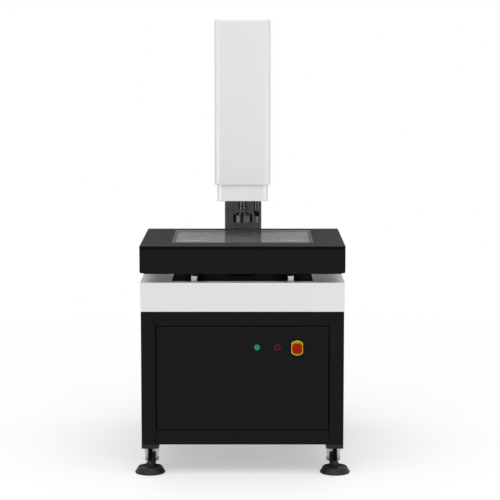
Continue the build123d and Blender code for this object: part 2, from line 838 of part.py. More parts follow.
# Granite column
with BuildPart() as column:
    block(
        (-column_half_width, column_half_width),
        (column_front, column_front + column_depth),
        (granite_top, column_top),
    )
    chamfer(column.edges().filter_by(Axis.Z), column_chamfer)
save(column, "column")

# Head arm, a casting with a pocket in each side that leaves ribs round a middle web
with BuildPart() as head_arm:
    with BuildSketch(Plane.YZ):
        Polygon(
            (column_front, arm_bottom),
            (column_front, arm_top),
            (arm_front, arm_top),
            (arm_front, arm_bottom),
            align=None,
        )
    extrude(amount=arm_half_width, both=True)
    with BuildSketch(Plane.YZ) as pocket:
        Polygon(
            (column_front - arm_rib, arm_bottom + arm_rib),
            (column_front - arm_rib, arm_top - arm_rib),
            (arm_front + arm_rib, arm_top - arm_rib),
            (arm_front + arm_rib, arm_bottom + 3 * arm_rib),
            align=None,
        )
        fillet(pocket.vertices(), arm_rib / 2)
    pocket_depth = arm_half_width - arm_web / 2
    for side in (-1, 1):
        pocket_mouth = pocket.sketch.moved(Location((side * arm_half_width, 0, 0)))
        extrude(pocket_mouth, amount=-side * pocket_depth, mode=Mode.SUBTRACT)
save(head_arm, "head_arm")

# White cover over the arm, open below and slotted at the back for the arm
with BuildPart() as z_cover:
    with BuildSketch(Plane.XY.offset(cover_bottom)) as cover_outline:
        with Locations((0, (cover_front + column_front) / 2)):
            Rectangle(2 * cover_half_width, column_front - cover_front)
        fillet(cover_outline.vertices().group_by(Axis.Y)[0], cover_round)
    extrude(amount=cover_top - cover_bottom)
    fillet(z_cover.edges().group_by(Axis.Z)[-1], cover_top_round)
    with BuildSketch(Plane.XY.offset(cover_bottom)) as cover_inside:
        with Locations((0, (cover_front + column_front) / 2)):
            Rectangle(2 * (cover_half_width - cover_wall), column_front - cover_front - 2 * cover_wall)
        fillet(cover_inside.vertices().group_by(Axis.Y)[0], cover_round - cover_wall)
    extrude(amount=cover_top - cover_bottom - cover_wall, mode=Mode.SUBTRACT)
    arm_slot = arm_half_width + arm_slot_gap
    block(
        (-arm_slot, arm_slot),
        (column_front - cover_wall, column_front),
        (cover_bottom, arm_top + arm_slot_gap),
        mode=Mode.SUBTRACT,
    )
save(z_cover, "z_cover")

# Z guide rails on the arm's front
with BuildPart() as z_rails:
    with BuildSketch(Plane.XY.offset(z_rail_bottom)):
        with Locations(Location((-z_rail_x, arm_front), 180), Location((z_rail_x, arm_front), 180)):
            guide_section(z_guide_width, z_guide_height)
    extrude(amount=z_rail_top - z_rail_bottom)
save(z_rails, "z_rails")

# Z motor on its bearing block
with BuildPart() as z_motor:
    z_block_top = z_bearing_bottom + z_bearing_height
    block(
        (-motor_side / 2, motor_side / 2),
        (z_screw_y - motor_side / 2, arm_front),
        (z_bearing_bottom, z_block_top),
    )
    motor(Plane((0, z_screw_y, z_block_top)), z_motor_height)
    with Locations((0, z_screw_y, z_bearing_bottom)):
        Cylinder(journal_radius + running_gap, z_bearing_height, align=UP, mode=Mode.SUBTRACT)
save(z_motor, "z_motor")

# Z screw, free at its lower end
with BuildPart() as z_screw:
    z_thread = z_bearing_bottom - panel_gap - z_screw_bottom
    screw(Plane((0, z_screw_y, z_screw_bottom)), z_thread, 0, z_bearing_height - 2 * sheet_wall)
    chamfer(z_screw.edges().group_by(Axis.Z)[0], screw_radius / 4)
save(z_screw, "z_screw")

# Z guide blocks and the nut of the Z screw
with BuildPart() as z_carriages:
    for middle_z in (z_block_low, z_block_high):
        with BuildSketch(Plane.XY.offset(middle_z)) as sections:
            with Locations(Location((-z_rail_x, arm_front), 180), Location((z_rail_x, arm_front), 180)):
                block_section(z_guide_width, z_guide_height, z_block_width, z_block_height, z_block_foot)
        extrude(sections.sketch, amount=z_block_length / 2, both=True)
    block(
        (-z_nut_half + 2, z_nut_half - 2),
        (slide_back, arm_front - 1),
        (z_nut_height - z_nut_half, z_nut_height + z_nut_half),
    )
    with Locations((0, z_screw_y, z_nut_height)):
        Cylinder(screw_radius + running_gap, 2 * z_nut_half, mode=Mode.SUBTRACT)
save(z_carriages, "z_carriages")

# Slide plate with the clamp that holds the lens
with BuildPart() as z_slide:
    slide_top = head_top - head_floor
    block((-head_half_width, head_half_width), (slide_front, slide_back), (head_bottom, slide_top))
    clamp_radius = lens_barrel_radius + clamp_wall
    with BuildSketch(Plane.XY.offset(clamp_bottom)) as clamp:
        with Locations((0, lens_y)):
            Circle(clamp_radius)
        with Locations((0, (lens_y + slide_front) / 2)):
            Rectangle(2 * clamp_radius, slide_front - lens_y)
        with Locations((0, lens_y)):
            Circle(lens_barrel_radius + running_gap, mode=Mode.SUBTRACT)
        with Locations((0, lens_y - clamp_radius)):
            Rectangle(sheet_wall, 2 * clamp_wall, mode=Mode.SUBTRACT)
    extrude(amount=clamp_height)
save(z_slide, "z_slide")

# White shroud of the head, open at the top and back, with holes for the lens and the probe in its floor
with BuildPart() as head_shroud:
    head_middle = (head_front + slide_front) / 2
    with BuildSketch(Plane.XY.offset(head_bottom)) as head_outline:
        with Locations((0, head_middle)):
            Rectangle(2 * head_half_width, slide_front - head_front)
        fillet(head_outline.vertices().group_by(Axis.Y)[0], head_round)
    extrude(amount=head_top - head_bottom)
    with BuildSketch(Plane.XY.offset(head_bottom + head_floor)) as head_inside:
        with Locations((0, head_middle + head_wall / 2)):
            Rectangle(2 * (head_half_width - head_wall), slide_front - head_front - head_wall)
        fillet(head_inside.vertices().group_by(Axis.Y)[0], head_round - head_wall)
    extrude(amount=head_top - head_bottom, mode=Mode.SUBTRACT)
    with BuildSketch(Plane.XY.offset(head_bottom)):
        with Locations((0, lens_y)):
            Circle(lens_tube_radius + lens_hole_gap)
        with Locations((probe_x, lens_y)):
            Circle(probe_radius + running_gap)
    extrude(amount=head_floor, mode=Mode.SUBTRACT)
save(head_shroud, "head_shroud")

# Camera on top of the lens
with BuildPart() as camera:
    with BuildSketch(Plane.XY.offset(camera_mount_top)):
        with Locations((0, lens_y)):
            RectangleRounded(camera_side, camera_side, 3)
    extrude(amount=camera_height)
    chamfer(camera.edges().group_by(Axis.Z)[-1], 1.5)
    with BuildSketch(Plane.XY.offset(camera_mount_top + camera_height)):
        with Locations((0, lens_y)):
            Circle(camera_side / 6)
    extrude(amount=camera_side / 6)
save(camera, "camera")

# Zoom lens: flared nose, neck, tube and barrel with the groove that the zoom ring turns in
with BuildPart() as zoom_lens:
    zoom_ring_top = zoom_ring_bottom + zoom_ring_height
    with BuildSketch(Plane.XZ) as lens_profile:
        with BuildLine():
            Polyline(
                (0, ring_light_top + lens_bore_depth),
                (lens_bore_radius, ring_light_top + lens_bore_depth),
                (lens_bore_radius, ring_light_top),
                (lens_flare_radius, ring_light_top),
                (lens_flare_radius, lens_flare_top),
                (lens_cone_radius, lens_flare_top),
                (lens_cone_radius, lens_cone_top),
                (lens_neck_radius, lens_cone_top),
                (lens_neck_radius, lens_neck_top),
                (lens_tube_radius, lens_neck_top),
                (lens_tube_radius, lens_barrel_bottom),
                (lens_barrel_radius, lens_barrel_bottom),
                (lens_barrel_radius, zoom_ring_bottom),
                (zoom_groove_radius, zoom_ring_bottom),
                (zoom_groove_radius, zoom_ring_top),
                (lens_barrel_radius, zoom_ring_top),
                (lens_barrel_radius, lens_barrel_top),
                (mount_thread_radius, lens_barrel_top),
                (mount_thread_radius, camera_mount_top),
                (0, camera_mount_top),
                close=True,
            )
        make_face()
    revolve(axis=Axis.Z)
    zoom_lens.part.move(Location((0, lens_y, 0)))
save(zoom_lens, "zoom_lens")

# Fluted zoom ring
with BuildPart() as zoom_ring:
    with BuildSketch(Plane.XY.offset(zoom_ring_bottom + panel_gap)) as ring_outline:
        with Locations((0, lens_y)):
            Circle(zoom_ring_radius)
            Circle(zoom_groove_radius + running_gap, mode=Mode.SUBTRACT)
            with PolarLocations(zoom_ring_radius, zoom_ring_flutes):
                Circle(zoom_flute_radius, mode=Mode.SUBTRACT)
    extrude(amount=zoom_ring_height - 2 * panel_gap)
save(zoom_ring, "zoom_ring")

# Ring light that hangs under the lens's flare, with a channel for its lamps
with BuildPart() as ring_light:
    with BuildSketch(Plane.XZ) as light_profile:
        light_bottom = ring_light_top - ring_light_height
        lip_bottom = ring_light_top - ring_light_lip_height
        channel_top = light_bottom + ring_light_channel
        with BuildLine():
            Polyline(
                (ring_light_lip, ring_light_top),
                (ring_light_radius, ring_light_top),
                (ring_light_radius, light_bottom),
                (ring_light_radius - ring_light_channel_wall, light_bottom),
                (ring_light_radius - ring_light_channel_wall, channel_top),
                (ring_light_bore + ring_light_channel_wall, channel_top),
                (ring_light_bore + ring_light_channel_wall, light_bottom),
                (ring_light_bore, light_bottom),
                (ring_light_bore, lip_bottom),
                (ring_light_lip, lip_bottom),
                close=True,
            )
        make_face()
    revolve(axis=Axis.Z)
    ring_light.part.move(Location((0, lens_y, 0)))
save(ring_light, "ring_light")

# Touch probe: a flanged body with a cone and an open mouth for the stylus
with BuildPart() as touch_probe:
    with BuildSketch(Plane.XZ) as probe_profile:
        flange_low = head_bottom + head_floor
        flange_high = flange_low + probe_flange_height
        mouth_top = probe_tip_height + probe_mouth_depth
        with BuildLine():
            Polyline(
                (0, mouth_top),
                (probe_mouth_radius, mouth_top),
                (probe_mouth_radius, probe_tip_height),
                (probe_tip_radius, probe_tip_height),
                (probe_radius, probe_cone_top),
                (probe_radius, flange_low),
                (probe_flange_radius, flange_low),
                (probe_flange_radius, flange_high),
                (probe_radius, flange_high),
                (probe_radius, probe_top),
                (0, probe_top),
                close=True,
            )
        make_face()
    revolve(axis=Axis.Z)
    with Locations(Location((0, 0, stylus_pivot_height), (0, 90, 0))):
        Cylinder(stylus_pin_radius + running_gap, 2 * (stylus_pin_half + running_gap), mode=Mode.SUBTRACT)
    touch_probe.part.move(Location((probe_x, lens_y, 0)))
save(touch_probe, "touch_probe")

# Cross that the stylus tilts on: one pin in the probe's wall and one through the stylus's eyes
with BuildPart() as stylus_seat:
    with Locations(Location((probe_x, lens_y, stylus_pivot_height), (0, 90, 0))):
        Cylinder(stylus_pin_radius, 2 * stylus_pin_half)
    with Locations(Location((probe_x, lens_y, stylus_pivot_height), (90, 0, 0))):
        Cylinder(stylus_pin_radius, 2 * stylus_cross_half)
save(stylus_seat, "stylus_seat")

# Stylus: a ball tip, a stem with a collar, and a yoke with two eyes on the cross
with BuildPart() as stylus:
    yoke_bottom = stylus_pivot_height - stylus_yoke_bottom
    with Locations((probe_x, lens_y, stylus_bottom + stylus_ball_radius)):
        Sphere(stylus_ball_radius)
        Cylinder(stylus_stem_radius, yoke_bottom - stylus_bottom - stylus_ball_radius, align=UP)
    with Locations((probe_x, lens_y, probe_tip_height - 3 * stylus_collar_radius)):
        Cylinder(stylus_collar_radius, stylus_collar_radius, align=UP)
    block(
        (probe_x - stylus_yoke_half, probe_x + stylus_yoke_half),
        (lens_y - stylus_eye_outer, lens_y + stylus_eye_outer),
        (yoke_bottom, stylus_pivot_height - stylus_yoke_top),
    )
    for side in (-1, 1):
        eye_middle = lens_y + side * (stylus_eye_inner + stylus_eye_outer) / 2
        with Locations(Location((probe_x, eye_middle, stylus_pivot_height), (90, 0, 0))):
            Cylinder(stylus_eye_radius, stylus_eye_outer - stylus_eye_inner)
            Cylinder(
                stylus_pin_radius + running_gap,
                stylus_eye_outer - stylus_eye_inner,
                mode=Mode.SUBTRACT,
            )
save(stylus, "stylus")

# Door: a folded tray with a hinge pin at its top and bottom and holes for the buttons
with BuildPart() as door_panel:
    door_back = door_face_y + panel_fold
    block((door_left, door_right), (door_face_y, door_back), (door_bottom, door_top))
    fillet(door_panel.faces().sort_by(Axis.Y)[0].edges(), door_edge_round)
    block(
        (door_left + sheet_wall, door_right - sheet_wall),
        (door_face_y + sheet_wall, door_back),
        (door_bottom + sheet_wall, door_top - sheet_wall),
        mode=Mode.SUBTRACT,
    )
    for pin_start, pin_height in ((door_top, hinge_pin_reach), (door_bottom, -hinge_pin_reach)):
        with BuildSketch(Plane.XY.offset(pin_start)) as pin:
            with Locations((hinge_x, hinge_y)):
                Circle(hinge_pin_radius)
        extrude(pin.sketch, amount=pin_height)
    with BuildSketch(Plane.XZ.offset(-door_face_y)) as button_holes:
        with Locations(
            (green_button_x, button_row_height),
            (red_button_x, button_row_height),
            (estop_x, estop_height),
        ):
            Circle(barrel_radius + running_gap)
    extrude(button_holes.sketch, amount=-sheet_wall, mode=Mode.SUBTRACT)
save(door_panel, "door_panel")

# Bezels of the two push buttons, each with its barrel through the door
with BuildPart() as button_bezels:
    button_bottom = door_face_y - bezel_proud - button_proud + button_length
    for middle_x in (green_button_x, red_button_x):
        front = Plane((middle_x, door_face_y, button_row_height), x_dir=(1, 0, 0), z_dir=(0, 1, 0))
        with BuildSketch(front) as barrel:
            Circle(barrel_radius)
        extrude(barrel.sketch, amount=barrel_depth)
        with BuildSketch(front) as rim:
            Circle(bezel_radius)
        extrude(rim.sketch, amount=-bezel_proud, taper=12)
        with BuildSketch(front.offset(-bezel_proud)) as bore:
            Circle(button_radius + running_gap)
        bore_depth = button_bottom + button_travel + panel_gap - (door_face_y - bezel_proud)
        extrude(bore.sketch, amount=bore_depth, mode=Mode.SUBTRACT)
save(button_bezels, "button_bezels")


def push_button(middle_x):
    """Round button cap that stands proud of its bezel, with a softened front edge."""
    front = Plane((middle_x, button_bottom, button_row_height), x_dir=(1, 0, 0), z_dir=(0, -1, 0))
    with BuildSketch(front) as cap:
        Circle(button_radius)
    extrude(cap.sketch, amount=button_length)


# Green and red push buttons
with BuildPart() as green_button:
    push_button(green_button_x)
    chamfer(green_button.edges().sort_by(Axis.Y)[0], panel_gap)
save(green_button, "green_button")

with BuildPart() as red_button:
    push_button(red_button_x)
    chamfer(red_button.edges().sort_by(Axis.Y)[0], panel_gap)
save(red_button, "red_button")

# Yellow plate of the emergency stop, round with two flats and a raised rim, and its barrel
with BuildPart() as estop_guard:
    estop_front = Plane((estop_x, door_face_y, estop_height), x_dir=(1, 0, 0), z_dir=(0, -1, 0))
    plate_face = door_face_y - estop_plate_thickness
    head_back = plate_face - estop_head_standoff
    with BuildSketch(estop_front) as plate_outline:
        Circle(estop_plate_radius)
        Rectangle(estop_plate_width, 2 * estop_plate_radius, mode=Mode.INTERSECT)
    extrude(plate_outline.sketch, amount=estop_plate_thickness)
    with BuildSketch(estop_front.offset(estop_plate_thickness)) as dish:
        Circle(estop_plate_radius - estop_rim)
        Rectangle(
            estop_plate_width - 2 * estop_rim,
            2 * (estop_plate_radius - estop_rim),
            mode=Mode.INTERSECT,
        )
    extrude(dish.sketch, amount=-estop_rim, mode=Mode.SUBTRACT)
    with BuildSketch(estop_front) as estop_barrel:
        Circle(barrel_radius)
    extrude(estop_barrel.sketch, amount=-barrel_depth)
    with BuildSketch(estop_front.offset(estop_plate_thickness)) as stem_bore:
        Circle(estop_stem_radius + running_gap)
    extrude(stem_bore.sketch, amount=-barrel_depth, mode=Mode.SUBTRACT)
save(estop_guard, "estop_guard")

# Stem of the emergency stop
with BuildPart() as estop_stem:
    stem_front = head_back - estop_socket + panel_gap
    stem_back = plate_face + barrel_depth - estop_travel - panel_gap
    with BuildSketch(Plane((estop_x, stem_front, estop_height), x_dir=(1, 0, 0), z_dir=(0, 1, 0))):
        Circle(estop_stem_radius)
    extrude(amount=stem_back - stem_front)
save(estop_stem, "estop_stem")

# Red head of the emergency stop, a square with full corners that turns on the stem
with BuildPart() as estop_head:
    head_plane = Plane((estop_x, head_back, estop_height), x_dir=(1, 0, 0), z_dir=(0, -1, 0))
    with BuildSketch(head_plane):
        RectangleRounded(estop_head_width, estop_head_width, estop_head_corner)
    extrude(amount=estop_head_thickness)
    chamfer(estop_head.faces().sort_by(Axis.Y)[0].edges(), estop_head_thickness / 3)
    with BuildSketch(head_plane) as head_bore:
        Circle(estop_stem_radius + running_gap)
    extrude(head_bore.sketch, amount=estop_socket, mode=Mode.SUBTRACT)
save(estop_head, "estop_head")

# Feet and casters, one set under each corner
for across, side_x in (("left", -1), ("right", 1)):
    for along, side_y in (("front", -1), ("rear", 1)):
        corner = f"{along}_{across}"
        centre_x = side_x * caster_x
        centre_y = side_y * caster_y
        axle_y = centre_y + side_y * caster_trail

        # Foot: a dished pad, a tapered hub, a cone and a long stem
        with BuildPart() as foot:
            with BuildSketch(Plane.XZ) as foot_profile:
                with BuildLine():
                    Polyline(
                        (0, 0),
                        (foot_sole_radius, 0),
                        (foot_pad_radius, foot_bulge_height),
                        (foot_rim_radius, foot_rim_height),
                        (foot_hub_base_radius, foot_dish_height),
                        (foot_hub_radius, foot_hub_height),
                        (foot_collar_radius, foot_hub_height + foot_collar_edge),
                        (foot_stem_radius, foot_collar_height),
                        (foot_stem_radius, foot_stem_top),
                        (0, foot_stem_top),
                        close=True,
                    )
                make_face()
            revolve(axis=Axis.Z)
            foot.part.move(Location((side_x * foot_x, side_y * foot_y, 0)))
        save(foot, f"foot_{corner}")

        # Fork: a crown and two legs that trail to the axle, with the kingpin above and the axle through
        with BuildPart() as fork:
            crown_top = boss_bottom - panel_gap
            crown_low = crown_top - fork_crown_height
            with BuildSketch(Plane.YZ.offset(centre_x)) as side_view:
                with Locations((axle_y, wheel_axle_height)):
                    Circle(fork_eye_radius)
                with Locations((centre_y, crown_top - fork_crown_height / 2)):
                    Rectangle(2 * fork_crown_radius, fork_crown_height)
                make_hull()
            extrude(side_view.sketch, amount=fork_crown_radius, both=True)
            with BuildSketch(Plane.XZ.offset(-centre_y)) as front_view:
                Polygon(
                    (centre_x - fork_leg_foot / 2, 0),
                    (centre_x + fork_leg_foot / 2, 0),
                    (centre_x + fork_leg_foot / 2, wheel_axle_height),
                    (centre_x + fork_leg_top / 2, crown_low),
                    (centre_x + fork_leg_top / 2, crown_top),
                    (centre_x - fork_leg_top / 2, crown_top),
                    (centre_x - fork_leg_top / 2, crown_low),
                    (centre_x - fork_leg_foot / 2, wheel_axle_height),
                    align=None,
                )
            extrude(front_view.sketch, amount=caster_from_end, both=True, mode=Mode.INTERSECT)
            wheel_slot = wheel_width / 2 + wheel_side_gap
            with BuildSketch(Plane.YZ.offset(centre_x)) as slot_view:
                with Locations((axle_y, wheel_axle_height)):
                    Circle(wheel_radius + 2)
                with Locations((axle_y, wheel_axle_height)):
                    Rectangle(2 * (wheel_radius + 2), 2 * wheel_radius, align=(Align.CENTER, Align.MAX))
            extrude(slot_view.sketch, amount=wheel_slot, both=True, mode=Mode.SUBTRACT)
            with Locations((centre_x, centre_y, crown_top - panel_gap)):
                Cylinder(kingpin_radius, kingpin_length, align=UP)
            axle_plane = Plane((centre_x, axle_y, wheel_axle_height), x_dir=(0, 1, 0), z_dir=(1, 0, 0))
            with BuildSketch(axle_plane) as axle:
                Circle(axle_radius)
            extrude(axle.sketch, amount=fork_leg_foot / 2, both=True)
            with BuildSketch(axle_plane) as nut:
                RegularPolygon(axle_nut_radius, 6)
            extrude(nut.sketch, amount=fork_leg_foot / 2 + axle_nut_height, both=True)
            with BuildSketch(axle_plane) as nut_gap:
                RegularPolygon(axle_nut_radius + 1, 6)
                Circle(axle_radius, mode=Mode.SUBTRACT)
            extrude(nut_gap.sketch, amount=wheel_slot, both=True, mode=Mode.SUBTRACT)
        save(fork, f"caster_fork_{corner}")

        # Wheel: a tyre with rounded shoulders on a recessed hub
        with BuildPart() as wheel:
            with BuildSketch(axle_plane) as tread:
                Circle(wheel_radius)
                Circle(axle_radius + running_gap, mode=Mode.SUBTRACT)
            extrude(tread.sketch, amount=wheel_width / 2, both=True)
            rims = wheel.edges().filter_by(GeomType.CIRCLE)
            shoulders = rims.filter_by(lambda edge: edge.radius > wheel_radius - 1)
            chamfer(shoulders, wheel_radius / 8)
        save(wheel, f"caster_wheel_{corner}")
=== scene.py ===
"""Finish and fine pieces of a vision measuring machine, in metres, in the frame of its solids.

X runs to the right seen from the door, Y to the back and Z up; the origin is on the floor between the feet.
"""

import logging
import math
from dataclasses import dataclass, field, replace
from enum import Enum

import bmesh
import bpy
import numpy as np
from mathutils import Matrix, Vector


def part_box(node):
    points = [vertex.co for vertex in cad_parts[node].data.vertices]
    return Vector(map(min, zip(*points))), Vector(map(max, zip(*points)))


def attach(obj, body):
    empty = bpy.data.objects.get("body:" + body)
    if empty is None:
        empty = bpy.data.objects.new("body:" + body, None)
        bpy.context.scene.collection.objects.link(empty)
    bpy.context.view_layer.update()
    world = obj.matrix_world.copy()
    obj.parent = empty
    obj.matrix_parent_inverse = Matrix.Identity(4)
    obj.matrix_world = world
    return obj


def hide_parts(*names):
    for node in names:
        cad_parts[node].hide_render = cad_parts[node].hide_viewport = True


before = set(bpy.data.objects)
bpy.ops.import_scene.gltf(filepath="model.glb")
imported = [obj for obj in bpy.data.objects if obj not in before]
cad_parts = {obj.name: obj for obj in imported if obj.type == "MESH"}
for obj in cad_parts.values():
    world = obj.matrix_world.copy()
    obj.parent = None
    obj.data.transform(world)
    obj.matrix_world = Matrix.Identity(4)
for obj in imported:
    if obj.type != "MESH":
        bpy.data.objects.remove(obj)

Vec = tuple[float, float, float]
Rgb = tuple[float, float, float]

LOG = logging.getLogger("measuring_machine")
TURN = 2 * math.pi
MERGED, SLIVER, SHARP_EDGE = 1e-6, 1e-7, math.radians(32)
DUST_COLOUR = (0.42, 0.4, 0.37, 1.0)
DUST_ROUGHNESS, COAT_ROUGHNESS = 0.4, 0.12
WEAR_BREAK_UP, GRAIN_SOFTNESS = 0.8, 0.45
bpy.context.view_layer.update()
CORNERS = (("front_left", -1, -1), ("front_right", 1, -1), ("rear_left", -1, 1), ("rear_right", 1, 1))


class Direction(Enum):
    """Named directions of the machine, each with two directions across it."""

    RIGHT = ((1, 0, 0), (0, 1, 0), (0, 0, 1))
    LEFT = ((-1, 0, 0), (0, 0, 1), (0, 1, 0))
    BACK = ((0, 1, 0), (0, 0, 1), (1, 0, 0))
    FRONT = ((0, -1, 0), (1, 0, 0), (0, 0, 1))
    UP = ((0, 0, 1), (1, 0, 0), (0, 1, 0))
    DOWN = ((0, 0, -1), (0, 1, 0), (1, 0, 0))


@dataclass(frozen=True)
class Seat:
    """A point on the machine and the direction in which a piece stands out of it."""

    point: Vec
    facing: Direction = Direction.UP

    def world(self, across: np.ndarray, along: np.ndarray, out: np.ndarray) -> np.ndarray:
        """Turn local coordinates into the machine's frame.

        Args:
            across: Distances along the seat's first cross direction.
            along: Distances along its second cross direction.
            out: Distances in the facing direction.

        Returns:
            Points with a last axis of x, y and z.
        """
        normal, first, second = (np.array(v, float) for v in self.facing.value)
        return (
            np.array(self.point)
            + across[..., None] * first
            + along[..., None] * second
            + out[..., None] * normal
        )


def ring(count: int) -> np.ndarray:
    """Angles of a full turn, evenly spaced, without the last.

    Args:
        count: Number of angles.

    Returns:
        Angles in radians.
    """
    return np.arange(count) * TURN / count


def rounded_rectangle(width: float, height: float, corner: float, steps: int = 5) -> np.ndarray:
    """Outline of a rectangle with quarter-circle corners, counter-clockwise.

    Each corner is its centre plus the corner radius times the cosine and sine of a quarter turn.

    Args:
        width: Size along the first axis.
        height: Size along the second axis.
        corner: Corner radius.
        steps: Points in each corner.

    Returns:
        Array of points, two columns.
    """
    quarter = np.linspace(0, TURN / 4, steps)
    signs = np.array([(1, 1), (-1, 1), (-1, -1), (1, -1)], float)
    centres = signs * (width / 2 - corner, height / 2 - corner)
    angles = quarter[None, :] + np.arange(4)[:, None] * TURN / 4
    points = centres[:, None, :] + corner * np.stack([np.cos(angles), np.sin(angles)], -1)
    return points.reshape(-1, 2)


@dataclass
class Shape:
    """Points and faces gathered from several surfaces before they become one piece."""

    points: list[np.ndarray] = field(default_factory=list)
    faces: list[list[int]] = field(default_factory=list)
    count: int = 0

    def surface(self, grid: np.ndarray, wrap_rows: bool = False, wrap_columns: bool = True) -> None:
        """Add a grid of points as four-sided faces between neighbours.

        Args:
            grid: Points with axes of row, column and x, y, z.
            wrap_rows: Whether the last row joins the first.
            wrap_columns: Whether the last column joins the first.
        """
        rows, columns = grid.shape[:2]
        row, column = np.meshgrid(
            np.arange(rows if wrap_rows else rows - 1),
            np.arange(columns if wrap_columns else columns - 1),
            indexing="ij",
        )
        next_row, next_column = (row + 1) % rows, (column + 1) % columns
        corners = ((row, column), (next_row, column), (next_row, next_column), (row, next_column))
        quads = np.stack([r * columns + c for r, c in corners], -1).reshape(-1, 4) + self.count
        self.points.append(grid.reshape(-1, 3))
        self.faces.extend(quads.tolist())
        self.count += rows * columns

    def lathe(self, profile: np.ndarray, seat: Seat, segments: int = 48, closed: bool = False) -> None:
        """Add a profile turned about the seat's facing direction.

        A point at radius r and height h goes to r cos a across, r sin a along and h out, for every angle a.

        Args:
            profile: Radius and height of each profile point.
            seat: Where the axis starts.
            segments: Number of angles in the turn.
            closed: Whether the profile is a closed loop rather than a line from axis to axis.
        """
        angle = ring(segments)[None, :]
        radius = np.asarray(profile, float)[:, :1]
        height = np.broadcast_to(np.asarray(profile, float)[:, 1:], (len(profile), segments))
        grid = seat.world(radius * np.cos(angle), radius * np.sin(angle), height)
        self.surface(grid, wrap_rows=closed)

    def rod(self, radius: float, length: float, seat: Seat, segments: int = 20) -> None:
        """Add a plain round bar with flat ends.

        Args:
            radius: Radius of the bar.
            length: Its length.
            seat: Where the bar starts.
            segments: Number of angles in the turn.
        """
        self.lathe(np.array([(0.0, 0.0), (radius, 0.0), (radius, length), (0.0, length)]), seat, segments)

    def fluted(self, profile: np.ndarray, seat: Seat, flutes: int, depth: np.ndarray, segments: int,
               closed: bool = False) -> None:
        """Add a turned profile whose radius dips in flutes round the turn.

        The radius is the profile's radius less its depth times the squared sine of half the flutes times the
        angle.

        Args:
            profile: Radius and height of each profile point.
            seat: Where the axis starts.
            flutes: Number of dips in a turn.
            depth: Depth of the dips at each profile point.
            segments: Number of angles in the turn.
            closed: Whether the profile is a closed loop.
        """
        angle = ring(segments)[None, :]
        dip = np.sin(flutes * angle / 2) ** 2
        radius = np.asarray(profile, float)[:, :1] - np.asarray(depth, float)[:, None] * dip
        height = np.broadcast_to(np.asarray(profile, float)[:, 1:], radius.shape)
        grid = seat.world(radius * np.cos(angle), radius * np.sin(angle), height)
        self.surface(grid, wrap_rows=closed)

    def layers(self, outline: np.ndarray, steps: list[tuple[float, float]], seat: Seat) -> None:
        """Add an outline carried outwards in layers, each drawn in by its own share.

        A layer is the outline times its share, at its height, so a share of 0 closes the shape at its middle.

        Args:
            outline: Closed outline, two columns.
            steps: Share and height of each layer.
            seat: Where the outline's middle stands.
        """
        share = np.array(steps, float)[:, 0][:, None, None] * outline[None, :, :]
        height = np.broadcast_to(np.array(steps, float)[:, 1][:, None], share.shape[:2])
        self.surface(seat.world(share[..., 0], share[..., 1], height))

    def prism(self, outline: np.ndarray, depth: float, seat: Seat) -> None:
        """Add an outline of any form carried straight out, with flat ends.

        Args:
            outline: Closed outline, two columns.
            depth: Length of the prism.
            seat: Where the outline's origin stands.
        """
        start = self.count
        size = len(outline)
        height = np.array([[0.0] * size, [depth] * size])
        across = np.broadcast_to(outline[None, :, 0], height.shape)
        along = np.broadcast_to(outline[None, :, 1], height.shape)
        self.surface(seat.world(across, along, height))
        self.faces.append(list(range(start, start + size)))
        self.faces.append(list(range(start + size, start + 2 * size)))

    def helix(self, radius: float, depth: float, lead: float, length: float, seat: Seat,
              columns: int) -> None:
        """Add a rod with a round-bottomed helical groove and plain ends.

        At angle a and height h the phase is h over the lead less a over a turn. The radius is the rod's less
        the depth times the fourth power of the cosine of pi times the phase. The groove fades out over the
        last lead at each end.

        Args:
            radius: Outer radius of the rod.
            depth: Depth of the groove.
            lead: Rise of the groove in a turn.
            length: Length of the rod.
            seat: Where the rod starts.
            columns: Number of angles in the turn.
        """
        rows_in_turn, fewest = 10, 12
        rows = max(int(length / lead * rows_in_turn), fewest)
        height = np.linspace(0, length, rows)[:, None]
        angle = ring(columns)[None, :]
        phase = height / lead - angle / TURN
        fade = np.clip(np.minimum(height, length - height) / lead, 0, 1)
        reach = radius - depth * fade * np.cos(math.pi * phase) ** 4
        grid = seat.world(reach * np.cos(angle), reach * np.sin(angle), np.broadcast_to(height, reach.shape))
        low = np.broadcast_to(grid[:1].mean(axis=1, keepdims=True), grid[:1].shape)
        high = np.broadcast_to(grid[-1:].mean(axis=1, keepdims=True), grid[-1:].shape)
        self.surface(np.concatenate([low, grid, high]))

    def build(self, name: str, finish: "Finish", body: str, slot: str,
              stands_for: tuple[str, ...] = ()) -> None:
        """Make the piece, merge its doubled points, point its faces outwards and give it its finish.

        Args:
            name: Name of the piece.
            finish: Finish of its surface.
            body: Body that it moves with.
            slot: Material slot of the record; not used.
            stands_for: Solids that it replaces.
        """
        mesh = bpy.data.meshes.new(name)
        mesh.from_pydata(np.concatenate(self.points).tolist(), [], self.faces)
        work = bmesh.new()
        work.from_mesh(mesh)
        bmesh.ops.remove_doubles(work, verts=work.verts, dist=MERGED)
        bmesh.ops.dissolve_degenerate(work, edges=work.edges, dist=SLIVER)
        bmesh.ops.recalc_face_normals(work, faces=work.faces)
        work.to_mesh(mesh)
        work.free()
        mesh.shade_smooth()
        piece = bpy.data.objects.new(name, mesh)
        bpy.context.scene.collection.objects.link(piece)
        mesh.materials.append(finish.material())
        mesh.set_sharp_from_angle(angle=SHARP_EDGE)
        if stands_for:
            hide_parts(*stands_for)
        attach(piece, body)
        LOG.info("made %s with %d faces", name, len(mesh.polygons))


